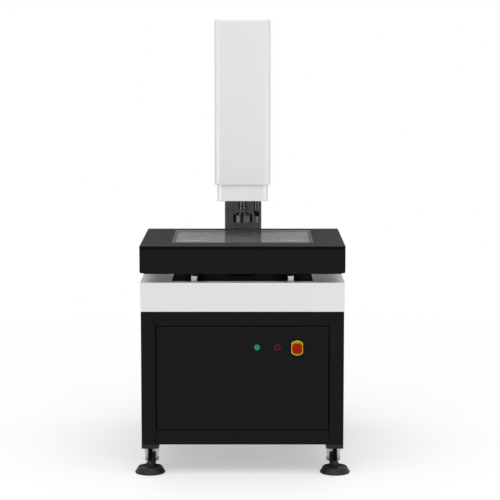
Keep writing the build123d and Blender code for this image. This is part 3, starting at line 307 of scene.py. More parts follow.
class Wiring:
    """Short ways to add and join the nodes of one tree."""

    def __init__(self, tree: bpy.types.NodeTree) -> None:
        """Keep the tree."""
        self.tree = tree

    def add(self, kind: str, inputs: dict | None = None, **settings: object) -> bpy.types.Node:
        """Add a node, set its properties, and set or join its inputs.

        Args:
            kind: Node type without the ShaderNode prefix.
            inputs: Input name or index to a value or to the socket that feeds it.
            **settings: Properties of the node.

        Returns:
            The new node.
        """
        node = self.tree.nodes.new(f"ShaderNode{kind}")
        for key, value in settings.items():
            setattr(node, key, value)
        for key, value in (inputs or {}).items():
            if isinstance(value, bpy.types.NodeSocket):
                self.tree.links.new(value, node.inputs[key])
            else:
                node.inputs[key].default_value = value
        return node

    def maths(self, operation: str, first: object, second: object,
              clamp: bool = False) -> bpy.types.NodeSocket:
        """Add a Math node and return its output."""
        return self.add("Math", {0: first, 1: second}, operation=operation, use_clamp=clamp).outputs[0]

    def blend(self, share: object, first: object, second: object) -> bpy.types.NodeSocket:
        """Mix two colours by a share.

        Args:
            share: Share of the second colour, a number or a socket.
            first: First colour, four numbers or a socket.
            second: Second colour.

        Returns:
            The socket of the mixed colour.
        """
        node = self.add("Mix", {"Factor": share}, data_type="RGBA")
        for index, value in ((6, first), (7, second)):
            if isinstance(value, bpy.types.NodeSocket):
                self.tree.links.new(value, node.inputs[index])
            else:
                node.inputs[index].default_value = value
        return node.outputs[2]

    def spread(self, value: object, low: object, high: object, to_low: object,
               to_high: object) -> bpy.types.NodeSocket:
        """Map a range of values onto another, clamped, and return the result."""
        names = ("Value", "From Min", "From Max", "To Min", "To Max")
        return self.add("MapRange", dict(zip(names, (value, low, high, to_low, to_high)))).outputs["Result"]


class Effect(Enum):
    """Surface effects that several finishes share, each a node group."""

    ROUNDED_EDGE = "rounded_edge"
    FINE_GRAIN = "fine_grain"
    GRANITE_SPECKLE = "granite_speckle"
    BRUSHED_LINES = "brushed_lines"
    SETTLED_DUST = "settled_dust"
    HANDLING = "handling"
    UPWARD = "upward"


class Effects:
    """Builds each shared effect once and places it in a material."""

    made: dict[Effect, bpy.types.NodeTree] = {}

    @classmethod
    def group(cls, effect: Effect) -> bpy.types.NodeTree:
        """Give the node group of an effect, building it the first time.

        Args:
            effect: The effect.

        Returns:
            Its node group.
        """
        if effect not in cls.made:
            cls.made[effect] = getattr(cls, f"_{effect.value}")()
        return cls.made[effect]

    @staticmethod
    def _start(name: str, ins: dict[str, float], outs: dict[str, str]) -> tuple[bpy.types.NodeTree, Wiring]:
        """Open a group with named value inputs and named outputs.

        Args:
            name: Name of the group.
            ins: Input name to its usual value.
            outs: Output name to its socket type.

        Returns:
            The tree and its wiring.
        """
        tree = bpy.data.node_groups.new(name, "ShaderNodeTree")
        for key, value in ins.items():
            socket = tree.interface.new_socket(key, in_out="INPUT", socket_type="NodeSocketFloat")
            socket.default_value = value
        for key, kind in outs.items():
            tree.interface.new_socket(key, in_out="OUTPUT", socket_type=kind)
        return tree, Wiring(tree)

    @staticmethod
    def _end(tree: bpy.types.NodeTree, feeds: dict[str, bpy.types.NodeSocket]) -> bpy.types.NodeTree:
        """Join the sockets that feed a group's outputs.

        Args:
            tree: The group's tree.
            feeds: Output name to the socket that feeds it.

        Returns:
            The finished tree.
        """
        sink = tree.nodes.new("NodeGroupOutput")
        for key, socket in feeds.items():
            tree.links.new(socket, sink.inputs[key])
        return tree

    @classmethod
    def _rounded_edge(cls) -> bpy.types.NodeTree:
        """Softened edges: a rounded normal, and a mask that is 1 along edges, broken up by noise."""
        outs = {"Normal": "NodeSocketVector", "Mask": "NodeSocketFloat"}
        tree, wire = cls._start("rounded_edge", {"Radius": 0.001, "Break Up": 0.5}, outs)
        source = tree.nodes.new("NodeGroupInput")
        bevel = wire.add("Bevel", {"Radius": source.outputs["Radius"]}, samples=6)
        flat = wire.add("NewGeometry").outputs["True Normal"]
        turn = wire.add("VectorMath", {0: bevel.outputs[0], 1: flat}, operation="DOT_PRODUCT")
        edge = wire.spread(turn.outputs["Value"], 0.98, 0.8, 0.0, 1.0)
        place = wire.add("TexCoord").outputs["Object"]
        noise = wire.add("TexNoise", {"Vector": place, "Scale": 90.0, "Detail": 4.0}).outputs["Fac"]
        patches = wire.spread(noise, 0.4, 0.62, 0.0, 1.0)
        kept = wire.add("Mix", {0: source.outputs["Break Up"], 2: 1.0, 3: patches}).outputs[0]
        return cls._end(tree, {"Normal": bevel.outputs[0], "Mask": wire.maths("MULTIPLY", edge, kept)})

    @classmethod
    def _fine_grain(cls) -> bpy.types.NodeTree:
        """Orange peel or powder grain: small noise over larger noise, as a height and as a mask."""
        outs = {"Height": "NodeSocketFloat", "Mask": "NodeSocketFloat"}
        tree, wire = cls._start("fine_grain", {"Scale": 900.0, "Softness": 0.5}, outs)
        source = tree.nodes.new("NodeGroupInput")
        place = wire.add("TexCoord").outputs["Object"]
        fine = wire.add("TexNoise", {"Vector": place, "Scale": source.outputs["Scale"], "Detail": 3.0})
        broad_scale = wire.maths("MULTIPLY", source.outputs["Scale"], 0.22)
        broad = wire.add("TexNoise", {"Vector": place, "Scale": broad_scale, "Detail": 2.0})
        feeds = {0: source.outputs["Softness"], 2: fine.outputs["Fac"], 3: broad.outputs["Fac"]}
        height = wire.add("Mix", feeds).outputs[0]
        return cls._end(tree, {"Height": height, "Mask": wire.spread(height, 0.35, 0.65, 0.0, 1.0)})

    @classmethod
    def _granite_speckle(cls) -> bpy.types.NodeTree:
        """Ground black granite: pale feldspar grains and dark patches of two sizes, as a mask and a tone."""
        outs = {"Speck": "NodeSocketFloat", "Patch": "NodeSocketFloat"}
        tree, wire = cls._start("granite_speckle", {"Scale": 700.0}, outs)
        source = tree.nodes.new("NodeGroupInput")
        place = wire.add("TexCoord").outputs["Object"]
        cells = wire.add("TexVoronoi", {"Vector": place, "Scale": source.outputs["Scale"]}).outputs["Color"]
        tone = wire.add("SeparateColor", {0: cells}).outputs[0]
        fleck = wire.spread(tone, 0.78, 0.98, 0.0, 1.0)
        patch_scale = wire.maths("MULTIPLY", source.outputs["Scale"], 0.12)
        patch = wire.add("TexNoise", {"Vector": place, "Scale": patch_scale, "Detail": 6.0}).outputs["Fac"]
        return cls._end(tree, {"Speck": fleck, "Patch": wire.spread(patch, 0.35, 0.68, 0.0, 1.0)})

    @classmethod
    def _brushed_lines(cls) -> bpy.types.NodeTree:
        """Grinding or brushing marks: noise stretched along one axis by the three scales."""
        ins = {"Scale X": 20.0, "Scale Y": 900.0, "Scale Z": 900.0}
        outs = {"Height": "NodeSocketFloat", "Mask": "NodeSocketFloat"}
        tree, wire = cls._start("brushed_lines", ins, outs)
        source = tree.nodes.new("NodeGroupInput")
        place = wire.add("TexCoord").outputs["Object"]
        scales = wire.add("CombineXYZ", {i: source.outputs[i] for i in range(3)}).outputs[0]
        stretched = wire.add("VectorMath", {0: place, 1: scales}, operation="MULTIPLY").outputs[0]
        lines = wire.add("TexNoise", {"Vector": stretched, "Scale": 1.0, "Detail": 5.0}).outputs["Fac"]
        return cls._end(tree, {"Height": lines, "Mask": wire.spread(lines, 0.35, 0.65, 0.0, 1.0)})

    @classmethod
    def _settled_dust(cls) -> bpy.types.NodeTree:
        """A thin film of dust on faces that look up, uneven over the surface."""
        tree, wire = cls._start("settled_dust", {"Amount": 0.1}, {"Mask": "NodeSocketFloat"})
        source = tree.nodes.new("NodeGroupInput")
        normal = wire.add("NewGeometry").outputs["True Normal"]
        rise = wire.add("SeparateXYZ", {0: normal}).outputs["Z"]
        level = wire.spread(rise, 0.55, 0.95, 0.0, 1.0)
        place = wire.add("TexCoord").outputs["Object"]
        cloud = wire.add("TexNoise", {"Vector": place, "Scale": 14.0, "Detail": 8.0}).outputs["Fac"]
        film = wire.maths("MULTIPLY", level, wire.spread(cloud, 0.3, 0.75, 0.2, 1.0))
        return cls._end(tree, {"Mask": wire.maths("MULTIPLY", film, source.outputs["Amount"], clamp=True)})

    @classmethod
    def _handling(cls) -> bpy.types.NodeTree:
        """Uneven sheen from wiping and handling: a value between a low and a high one."""
        tree, wire = cls._start("handling", {"Low": 0.3, "High": 0.5}, {"Value": "NodeSocketFloat"})
        source = tree.nodes.new("NodeGroupInput")
        place = wire.add("TexCoord").outputs["Object"]
        warp = wire.add("TexNoise", {"Vector": place, "Scale": 7.0, "Detail": 7.0, "Distortion": 0.6})
        value = wire.spread(warp.outputs["Fac"], 0.3, 0.7, source.outputs["Low"], source.outputs["High"])
        return cls._end(tree, {"Value": value})

    @classmethod
    def _upward(cls) -> bpy.types.NodeTree:
        """Faces that look up: the height of the flat normal mapped from a low to a high value."""
        tree, wire = cls._start("upward", {"Low": 0.2, "High": 0.4}, {"Mask": "NodeSocketFloat"})
        source = tree.nodes.new("NodeGroupInput")
        normal = wire.add("NewGeometry").outputs["True Normal"]
        rise = wire.add("SeparateXYZ", {0: normal}).outputs["Z"]
        mask = wire.spread(rise, source.outputs["Low"], source.outputs["High"], 0.0, 1.0)
        return cls._end(tree, {"Mask": mask})


MATERIALS: dict[str, bpy.types.Material] = {}


@dataclass(frozen=True)
class Finish:
    """Surface finish: a base colour with grain, uneven sheen, worn edges and settled dust."""

    name: str
    colour: Rgb
    low_sheen: float
    high_sheen: float
    metallic: float = 0.0
    specular: float = 0.5
    coat: float = 0.0
    grain_scale: float = 900.0
    grain_depth: float = 0.00002
    grain_tone: float = 0.06
    edge_radius: float = 0.0008
    wear: float = 0.25
    wear_colour: Rgb = (0.35, 0.35, 0.35)
    dust: float = 0.04
    rim_tint: float = 1.0

    def material(self) -> bpy.types.Material:
        """Return the finish's material, making it the first time."""
        if self.name not in MATERIALS:
            MATERIALS[self.name] = self._make()
        return MATERIALS[self.name]

    def _make(self) -> bpy.types.Material:
        """Make the material and let the finish wire it."""
        material = bpy.data.materials.new(self.name)
        material.use_nodes = True
        material.diffuse_color = (*self.colour, 1.0)
        wire = Wiring(material.node_tree)
        shader = material.node_tree.nodes["Principled BSDF"]
        shader.inputs["Metallic"].default_value = self.metallic
        shader.inputs["Specular IOR Level"].default_value = self.specular
        shader.inputs["Specular Tint"].default_value = (self.rim_tint, self.rim_tint, self.rim_tint, 1.0)
        shader.inputs["Coat Weight"].default_value = self.coat
        shader.inputs["Coat Roughness"].default_value = COAT_ROUGHNESS
        self.wire(wire, shader)
        return material

    def effect(self, wire: Wiring, effect: Effect, values: dict[str, float]) -> bpy.types.Node:
        """Place a shared effect with this finish's own values.

        Args:
            wire: Wiring of the material.
            effect: The effect to place.
            values: Input name to value.

        Returns:
            The group node.
        """
        node = wire.add("Group", node_tree=Effects.group(effect))
        for key, value in values.items():
            node.inputs[key].default_value = value
        return node

    def tone(self, wire: Wiring, grain: bpy.types.Node) -> bpy.types.NodeSocket:
        """Vary the base colour between the grain's light and dark.

        Args:
            wire: Wiring of the material.
            grain: The grain's node.

        Returns:
            The socket of the colour.
        """
        dark = tuple(c * (1 - self.grain_tone) for c in self.colour)
        light = tuple(min(c * (1 + self.grain_tone), 1.0) for c in self.colour)
        return wire.blend(grain.outputs["Mask"], (*dark, 1.0), (*light, 1.0))

    def grain(self, wire: Wiring) -> bpy.types.Node:
        """Place the grain of the surface."""
        return self.effect(wire, Effect.FINE_GRAIN, {"Scale": self.grain_scale, "Softness": GRAIN_SOFTNESS})

    def wire(self, wire: Wiring, shader: bpy.types.Node) -> None:
        """Join grain, sheen, edges and dust to the shader.

        Args:
            wire: Wiring of the material.
            shader: Its Principled shader.
        """
        links = wire.tree.links
        grain = self.grain(wire)
        edge = self.effect(wire, Effect.ROUNDED_EDGE, {"Radius": self.edge_radius, "Break Up": WEAR_BREAK_UP})
        dust = self.effect(wire, Effect.SETTLED_DUST, {"Amount": self.dust})
        sheen = self.effect(wire, Effect.HANDLING, {"Low": self.low_sheen, "High": self.high_sheen})
        worn = wire.maths("MULTIPLY", edge.outputs["Mask"], self.wear)
        colour = wire.blend(worn, self.tone(wire, grain), (*self.wear_colour, 1.0))
        dusty = wire.blend(dust.outputs["Mask"], colour, DUST_COLOUR)
        relief = {"Height": grain.outputs["Height"], "Distance": self.grain_depth}
        bump = wire.add("Bump", relief | {"Normal": edge.outputs["Normal"]})
        dull = wire.maths("MULTIPLY", dust.outputs["Mask"], DUST_ROUGHNESS)
        rough = wire.maths("ADD", sheen.outputs["Value"], dull, clamp=True)
        links.new(dusty, shader.inputs["Base Color"])
        links.new(rough, shader.inputs["Roughness"])
        links.new(bump.outputs[0], shader.inputs["Normal"])


@dataclass(frozen=True)
class Granite(Finish):
    """Ground black granite with pale specks."""

    speck_scale: float = 650.0
    speck_colour: Rgb = (0.2, 0.2, 0.2)
    speck_share: float = 0.35
    patch_depth: float = 0.7

    def tone(self, wire: Wiring, grain: bpy.types.Node) -> bpy.types.NodeSocket:
        """Lay dark patches under pale specks.

        Args:
            wire: Wiring of the material.
            grain: The grain's node, which the stone's colour doesn't follow.

        Returns:
            The socket of the colour.
        """
        speckle = self.effect(wire, Effect.GRANITE_SPECKLE, {"Scale": self.speck_scale})
        deep = tuple(c * self.patch_depth for c in self.colour)
        ground = wire.blend(speckle.outputs["Patch"], (*deep, 1.0), (*self.colour, 1.0))
        share = wire.maths("MULTIPLY", speckle.outputs["Speck"], self.speck_share)
        return wire.blend(share, ground, (*self.speck_colour, 1.0))


@dataclass(frozen=True)
class PaintedLightByFacing(Finish):
    """Metal painted with light and shade by facing: shaded sides, lit bevels in a second colour and tops in a
    third.
    """

    # Painted light: the colour of the bevels, then of the faces that look up.
    slope_light: Rgb = (0.05, 0.05, 0.05)
    upper: Rgb = (0.05, 0.05, 0.05)

    def tone(self, wire: Wiring, grain: bpy.types.Node) -> bpy.types.NodeSocket:
        """Paint light and shade by facing: the shaded sides' colour gives way to the lit bevels' and then the
        upper one as the face turns up.

        Args:
            wire: Wiring of the material.
            grain: The grain's node.

        Returns:
            The socket of the colour.
        """
        # Masks of the bevels and of the upward faces, which take the painted light.
        bevel = self.effect(wire, Effect.UPWARD, {"Low": 0.15, "High": 0.35}).outputs["Mask"]
        level = self.effect(wire, Effect.UPWARD, {"Low": 0.8, "High": 0.95}).outputs["Mask"]
        lit_colour = wire.blend(level, (*self.slope_light, 1.0), (*self.upper, 1.0))
        return wire.blend(bevel, super().tone(wire, grain), lit_colour)


@dataclass(frozen=True)
class Brushed(Finish):
    """Metal with grinding marks along one axis."""

    stretch: Vec = (25.0, 1400.0, 1400.0)

    def grain(self, wire: Wiring) -> bpy.types.Node:
        """Place the grinding marks."""
        names = ("Scale X", "Scale Y", "Scale Z")
        return self.effect(wire, Effect.BRUSHED_LINES, dict(zip(names, self.stretch)))


@dataclass(frozen=True)
class Clear(Finish):
    """Glass with faint wiping marks."""

    index: float = 1.45
    clarity: float = 1.0

    def wire(self, wire: Wiring, shader: bpy.types.Node) -> None:
        """Make the shader transmit, and let wiping marks vary its sheen.

        Args:
            wire: Wiring of the material.
            shader: Its Principled shader.
        """
        shader.inputs["Base Color"].default_value = (*self.colour, 1.0)
        shader.inputs["Transmission Weight"].default_value = self.clarity
        shader.inputs["IOR"].default_value = self.index
        sheen = self.effect(wire, Effect.HANDLING, {"Low": self.low_sheen, "High": self.high_sheen})
        wire.tree.links.new(sheen.outputs["Value"], shader.inputs["Roughness"])


@dataclass(frozen=True)
class Lamp(Finish):
    """A diffuser or lamp that glows faintly."""

    glow: float = 0.4

    def wire(self, wire: Wiring, shader: bpy.types.Node) -> None:
        """Join the usual effects and add the glow.

        Args:
            wire: Wiring of the material.
            shader: Its Principled shader.
        """
        super().wire(wire, shader)
        shader.inputs["Emission Color"].default_value = (*self.colour, 1.0)
        shader.inputs["Emission Strength"].default_value = self.glow


BLACK_COAT = Finish("black_powder_coat", (0.0072, 0.0072, 0.0075), 0.42, 0.55, specular=0.07,
                    grain_scale=1500.0, grain_depth=0.00006, wear=0.05, wear_colour=(0.05, 0.05, 0.05),
                    edge_radius=0.0015, dust=0.03)
DOOR_COAT = replace(BLACK_COAT, name="door_powder_coat", edge_radius=0.0012, dust=0.04)
PLATE_COAT = Finish("plate_powder_coat", (0.020, 0.020, 0.0205), 0.38, 0.5, specular=0.15, grain_scale=1500.0,
                    grain_depth=0.00005, wear=0.1, wear_colour=(0.09, 0.09, 0.09), edge_radius=0.0012)
SKIRT_COAT = Finish("skirt_powder_coat", (0.0082, 0.0082, 0.0085), 0.4, 0.52, specular=0.06,
                    grain_scale=1500.0, grain_depth=0.00005, wear=0.04, wear_colour=(0.05, 0.05, 0.05),
                    edge_radius=0.0012)
WHITE_COAT = Finish("white_coat", (0.8, 0.8, 0.802), 0.42, 0.5, metallic=0.3, grain_scale=700.0,
                    grain_depth=0.00001, grain_tone=0.01, wear=0.03, wear_colour=(0.7, 0.7, 0.7),
                    edge_radius=0.002, dust=0.01)
# Painted light: the same white paint as the covers, made lighter to offset the shade that falls on the
# shroud.
SHROUD_COAT_PAINTED_LIGHTER = replace(WHITE_COAT, name="white_coat_painted_lighter", colour=(0.89, 0.89, 0.892),
                      wear_colour=(0.75, 0.75, 0.75))
BLACK_GRANITE = Granite("black_granite", (0.0035, 0.0035, 0.0037), 0.6, 0.7, specular=0.02,
                        grain_scale=2400.0, grain_depth=0.00001, wear=0.05, wear_colour=(0.08, 0.08, 0.08),
                        speck_scale=620.0, speck_colour=(0.03, 0.03, 0.03), speck_share=0.3, dust=0.0)
COLUMN_GRANITE = Granite("column_granite", (0.165, 0.165, 0.166), 0.42, 0.55, specular=0.25,
                         grain_scale=2400.0, grain_depth=0.00001, wear=0.1, wear_colour=(0.2, 0.2, 0.2),
                         speck_scale=420.0, speck_colour=(0.3, 0.3, 0.3), speck_share=0.4)
# Painted shade and light: the plate's sides are darkened, and its bevels and top are lightened by their
# facing.
TABLE_ANODISE_AND_SHADE = PaintedLightByFacing("anodised_plate_painted_light_and_shade", (0.0058, 0.0058, 0.006), 0.7, 0.8, specular=0.02,
                           grain_scale=2600.0, grain_depth=0.00001, grain_tone=0.08, wear=0.0, dust=0.01,
                           slope_light=(0.068, 0.068, 0.069), upper=(0.046, 0.046, 0.047))
STAGE_GLASS = Clear("stage_glass", (0.93, 0.94, 0.94), 0.0, 0.003, index=1.0165, clarity=0.93)
LENS_GLASS = Clear("coated_lens_glass", (0.75, 0.7, 0.95), 0.0, 0.02, index=1.6)
# Painted light and shade: the rail is one ground steel, with dark sides and bright faces where it turns up.
RAIL_X = PaintedLightByFacing("ground_rail_x_painted_light", (0.045, 0.045, 0.046), 0.3, 0.42, metallic=1.0,
                    grain_depth=0.000004, wear=0.0, edge_radius=0.0002, dust=0.0, slope_light=(0.85, 0.85, 0.85),
                    upper=(0.75, 0.75, 0.75))
RAIL_Y = Brushed("ground_rail_y", (0.6, 0.6, 0.6), 0.2, 0.32, metallic=1.0, grain_depth=0.000004, wear=0.1,
                 wear_colour=(0.8, 0.8, 0.8), edge_radius=0.0004, dust=0.02, stretch=(1400.0, 25.0, 1400.0))
RAIL_Z = replace(RAIL_Y, name="ground_rail_z", stretch=(1400.0, 1400.0, 25.0))
BLOCK_STEEL = Brushed("guide_block_steel", (0.3, 0.3, 0.31), 0.3, 0.42, metallic=1.0, grain_depth=0.000006,
                      wear=0.15, wear_colour=(0.5, 0.5, 0.5), dust=0.03)
SCREW_STEEL = Finish("ground_screw_steel", (0.5, 0.5, 0.5), 0.18, 0.3, metallic=1.0, grain_depth=0.000003,
                     wear=0.1, wear_colour=(0.7, 0.7, 0.7), edge_radius=0.0003, dust=0.02)
FASTENER_BLACK = Finish("blackened_screw", (0.02, 0.02, 0.021), 0.32, 0.45, metallic=0.6, wear=0.5,
                        wear_colour=(0.25, 0.25, 0.25), edge_radius=0.0004)
ZINC = Finish("bright_zinc", (0.48, 0.48, 0.49), 0.2, 0.34, metallic=1.0, grain_scale=500.0,
              grain_depth=0.000006, grain_tone=0.05, wear=0.15, wear_colour=(0.4, 0.4, 0.4))
BEZEL_BLACK = Finish("black_chrome", (0.012, 0.012, 0.013), 0.1, 0.18, coat=0.3, grain_depth=0.000002,
                     wear=0.1, wear_colour=(0.1, 0.1, 0.1), edge_radius=0.0006, dust=0.01)
SADDLE_METAL = Brushed("milled_saddle", (0.26, 0.26, 0.265), 0.38, 0.5, metallic=0.7, grain_depth=0.000008,
                       wear=0.2, wear_colour=(0.5, 0.5, 0.5))
SADDLE_BLACK = Finish("black_anodised_saddle", (0.012, 0.012, 0.0122), 0.5, 0.62, specular=0.08, wear=0.1,
                      wear_colour=(0.1, 0.1, 0.1), dust=0.02)
BLOCK_DARK = Brushed("blackened_guide_block", (0.03, 0.03, 0.031), 0.34, 0.46, metallic=1.0, rim_tint=0.2,
                     grain_depth=0.000006, wear=0.15, wear_colour=(0.3, 0.3, 0.3), dust=0.02)
# Painted shade: the stop's yellow, darkened to amber for the shade round the head in its dish.
STOP_DISH_SHADE = Finish("stop_yellow_painted_shade", (0.6, 0.42, 0.006), 0.4, 0.5, specular=0.1, grain_scale=1500.0,
                    grain_depth=0.00001, grain_tone=0.03, wear=0.0, dust=0.01)
ARM_PAINT = Finish("grey_casting", (0.22, 0.22, 0.225), 0.45, 0.6, grain_scale=380.0, grain_depth=0.00012,
                   wear=0.2, wear_colour=(0.32, 0.32, 0.32), edge_radius=0.003)
LENS_BLACK = Finish("black_anodised_barrel", (0.034, 0.034, 0.0345), 0.05, 0.09, metallic=1.0, rim_tint=0.0,
                    grain_scale=2800.0, grain_depth=0.000004, wear=0.1, wear_colour=(0.06, 0.06, 0.06),
                    edge_radius=0.0004, dust=0.0)
MOTOR_BLACK = Finish("black_motor_paint", (0.02, 0.02, 0.021), 0.38, 0.5, specular=0.35, wear=0.2)
SEAL_PLASTIC = Finish("seal_plastic", (0.02, 0.022, 0.021), 0.4, 0.55, specular=0.4, wear=0.05)
RUBBER = Finish("black_rubber", (0.014, 0.014, 0.014), 0.6, 0.78, specular=0.2, grain_scale=700.0,
                grain_depth=0.00006, wear=0.15, wear_colour=(0.05, 0.05, 0.05), edge_radius=0.001, dust=0.08)
STEM_BLACK = Finish("black_stem", (0.003, 0.003, 0.0031), 0.45, 0.55, specular=0.05, wear=0.1,
                    wear_colour=(0.04, 0.04, 0.04), dust=0.0)
FOOT_BLACK = Finish("black_foot", (0.013, 0.013, 0.0132), 0.36, 0.48, specular=0.25, grain_scale=1100.0,
                    grain_depth=0.00005, wear=0.12, wear_colour=(0.1, 0.1, 0.1), dust=0.03)
GREEN_LENS = Finish("green_button_plastic", (0.0005, 0.33, 0.115), 0.2, 0.3, specular=0.08,
                    grain_depth=0.000004, wear=0.0, edge_radius=0.0004, dust=0.0)
RED_LENS = replace(GREEN_LENS, name="red_button_plastic", colour=(0.105, 0.0005, 0.0005), specular=0.05)
STOP_YELLOW = Finish("stop_yellow", (0.97, 0.88, 0.025), 0.3, 0.4, specular=0.3, grain_scale=1500.0,
                     grain_depth=0.00001, grain_tone=0.03, wear=0.05, wear_colour=(0.6, 0.55, 0.1), dust=0.01)
STOP_RED = Finish("stop_red", (0.37, 0.012, 0.002), 0.34, 0.44, specular=0.06, grain_scale=1500.0,
                  grain_depth=0.00001, grain_tone=0.03, wear=0.02, wear_colour=(0.5, 0.1, 0.08), dust=0.0)
RAIL_STOP = Finish("rail_stop_plastic", (0.55, 0.55, 0.55), 0.5, 0.6, specular=0.1, wear=0.0)
BLACK_PLASTIC = Finish("black_moulding", (0.018, 0.018, 0.018), 0.4, 0.55, specular=0.35, grain_scale=1800.0,
                       grain_depth=0.00004, wear=0.05)
DIFFUSER = Lamp("white_diffuser", (0.85, 0.86, 0.88), 0.4, 0.5, grain_depth=0.000004, grain_tone=0.01,
                wear=0.0, dust=0.0, glow=0.15)
LED = Lamp("white_lamp", (0.9, 0.93, 1.0), 0.2, 0.3, grain_depth=0.000002, grain_tone=0.01, wear=0.0,
           dust=0.0, glow=0.6)
STYLUS_STEEL = Finish("ground_stylus", (0.42, 0.42, 0.423), 0.35, 0.45, metallic=1.0, grain_depth=0.000002,
                      wear=0.05, edge_radius=0.0002, dust=0.0)


def dress(finish: Finish, *nodes: str) -> None:
    """Give solids of the frame a finish in place of their plain one.

    Args:
        finish: The finish.
        *nodes: Names of the solids.
    """
    for node in nodes:
        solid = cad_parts[node]
        if not solid.material_slots:
            solid.data.materials.append(None)
        for holder in solid.material_slots:
            holder.material = finish.material()
        LOG.info("dressed %s in %s", node, finish.name)


def span(node: str) -> tuple[np.ndarray, np.ndarray]:
    """Return the lowest and the highest corner of a solid as arrays."""
    low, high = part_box(node)
    return np.array(low), np.array(high)


def middle(node: str) -> np.ndarray:
    """Return the middle of a solid's box."""
    low, high = span(node)
    return (low + high) / 2


def arc(centre: tuple[float, float], radius: float, start: float, end: float,
        steps: int) -> list[tuple[float, float]]:
    """Points of a circle's arc, from one angle in degrees to another.

    Args:
        centre: Middle of the circle.
        radius: Its radius.
        start: First angle in degrees.
        end: Last angle in degrees.
        steps: Number of points.

    Returns:
        The points as pairs.
    """
    angles = np.radians(np.linspace(start, end, steps))
    points = np.array(centre) + radius * np.stack([np.cos(angles), np.sin(angles)], -1)
    return [(float(a), float(b)) for a, b in points]


@dataclass(frozen=True)
class SocketScrew:
    """Cap screw with a hexagon socket, seen from its head."""

    head: float = 0.0035
    height: float = 0.0022
    socket: float = 0.0017
    soft: float = 0.0003
    socket_floor: float = 0.35

    def profile(self) -> list[tuple[float, float]]:
        """Return radius and height from the socket's floor out to the seat and back under the head."""
        floor = self.height * self.socket_floor
        return [
            (0.0, floor),
            (self.socket, floor),
            (self.socket, self.height),
            (self.head - self.soft, self.height),
            (self.head, self.height - self.soft),
            (self.head, -self.soft),
            (0.0, -self.soft),
        ]

    def add(self, shape: Shape, seats: list[Seat]) -> None:
        """Add a head at each seat."""
        for seat in seats:
            shape.lathe(np.array(self.profile()), seat, segments=18)


@dataclass
class Cabinet:
    """Welded cabinet with its panels, its controller and its power inlet."""

    rivets_in_row: int = 6
    rivet_from_edge: float = 0.007
    rivet_from_end: float = 0.03
    rivet: float = 0.0038
    rivet_rise: float = 0.0016
    rivet_sunk: float = 0.0004
    edge_reach: float = 0.0002

    def build(self) -> None:
        """Dress the cabinet and add its rivets."""
        dress(BLACK_COAT, "cabinet_posts", "cabinet_rails", "floor_panel", "side_panels", "rear_panel")
        dress(PLATE_COAT, "corner_plates")
        dress(BLACK_PLASTIC, "power_inlet")
        dress(MOTOR_BLACK, "controller")
        dress(RUBBER, "base_pads")
        self.rear_rivets()

    def rear_rivets(self) -> None:
        """Domed rivet heads along the two upright edges of the rear panel.

        Each head is a quarter circle flattened to its rise and turned about the panel's outward direction.
        """
        low, high = span("rear_panel")
        dome = np.array(arc((0.0, 0.0), 1.0, 90, 0, 6)) * (self.rivet, self.rivet_rise)
        dome = np.concatenate([dome, [(self.rivet, -self.rivet_sunk), (0.0, -self.rivet_sunk)]])
        face = self.rear_face()
        rows = np.linspace(low[2] + self.rivet_from_end, high[2] - self.rivet_from_end, self.rivets_in_row)
        shape = Shape()
        for x in (low[0] + self.rivet_from_edge, high[0] - self.rivet_from_edge):
            for z in rows:
                shape.lathe(dome, Seat((x, face, z), Direction.BACK), segments=20)
        shape.build("rear_rivets", BLACK_COAT, "machine_base", "black_paint")

    def rear_face(self) -> float:
        """Return the Y of the rear panel's outer face, measured along its side edge."""
        points = np.array([tuple(v.co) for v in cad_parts["rear_panel"].data.vertices])
        edge = points[points[:, 0] < points[:, 0].min() + self.edge_reach, 1]
        return float(edge.max())


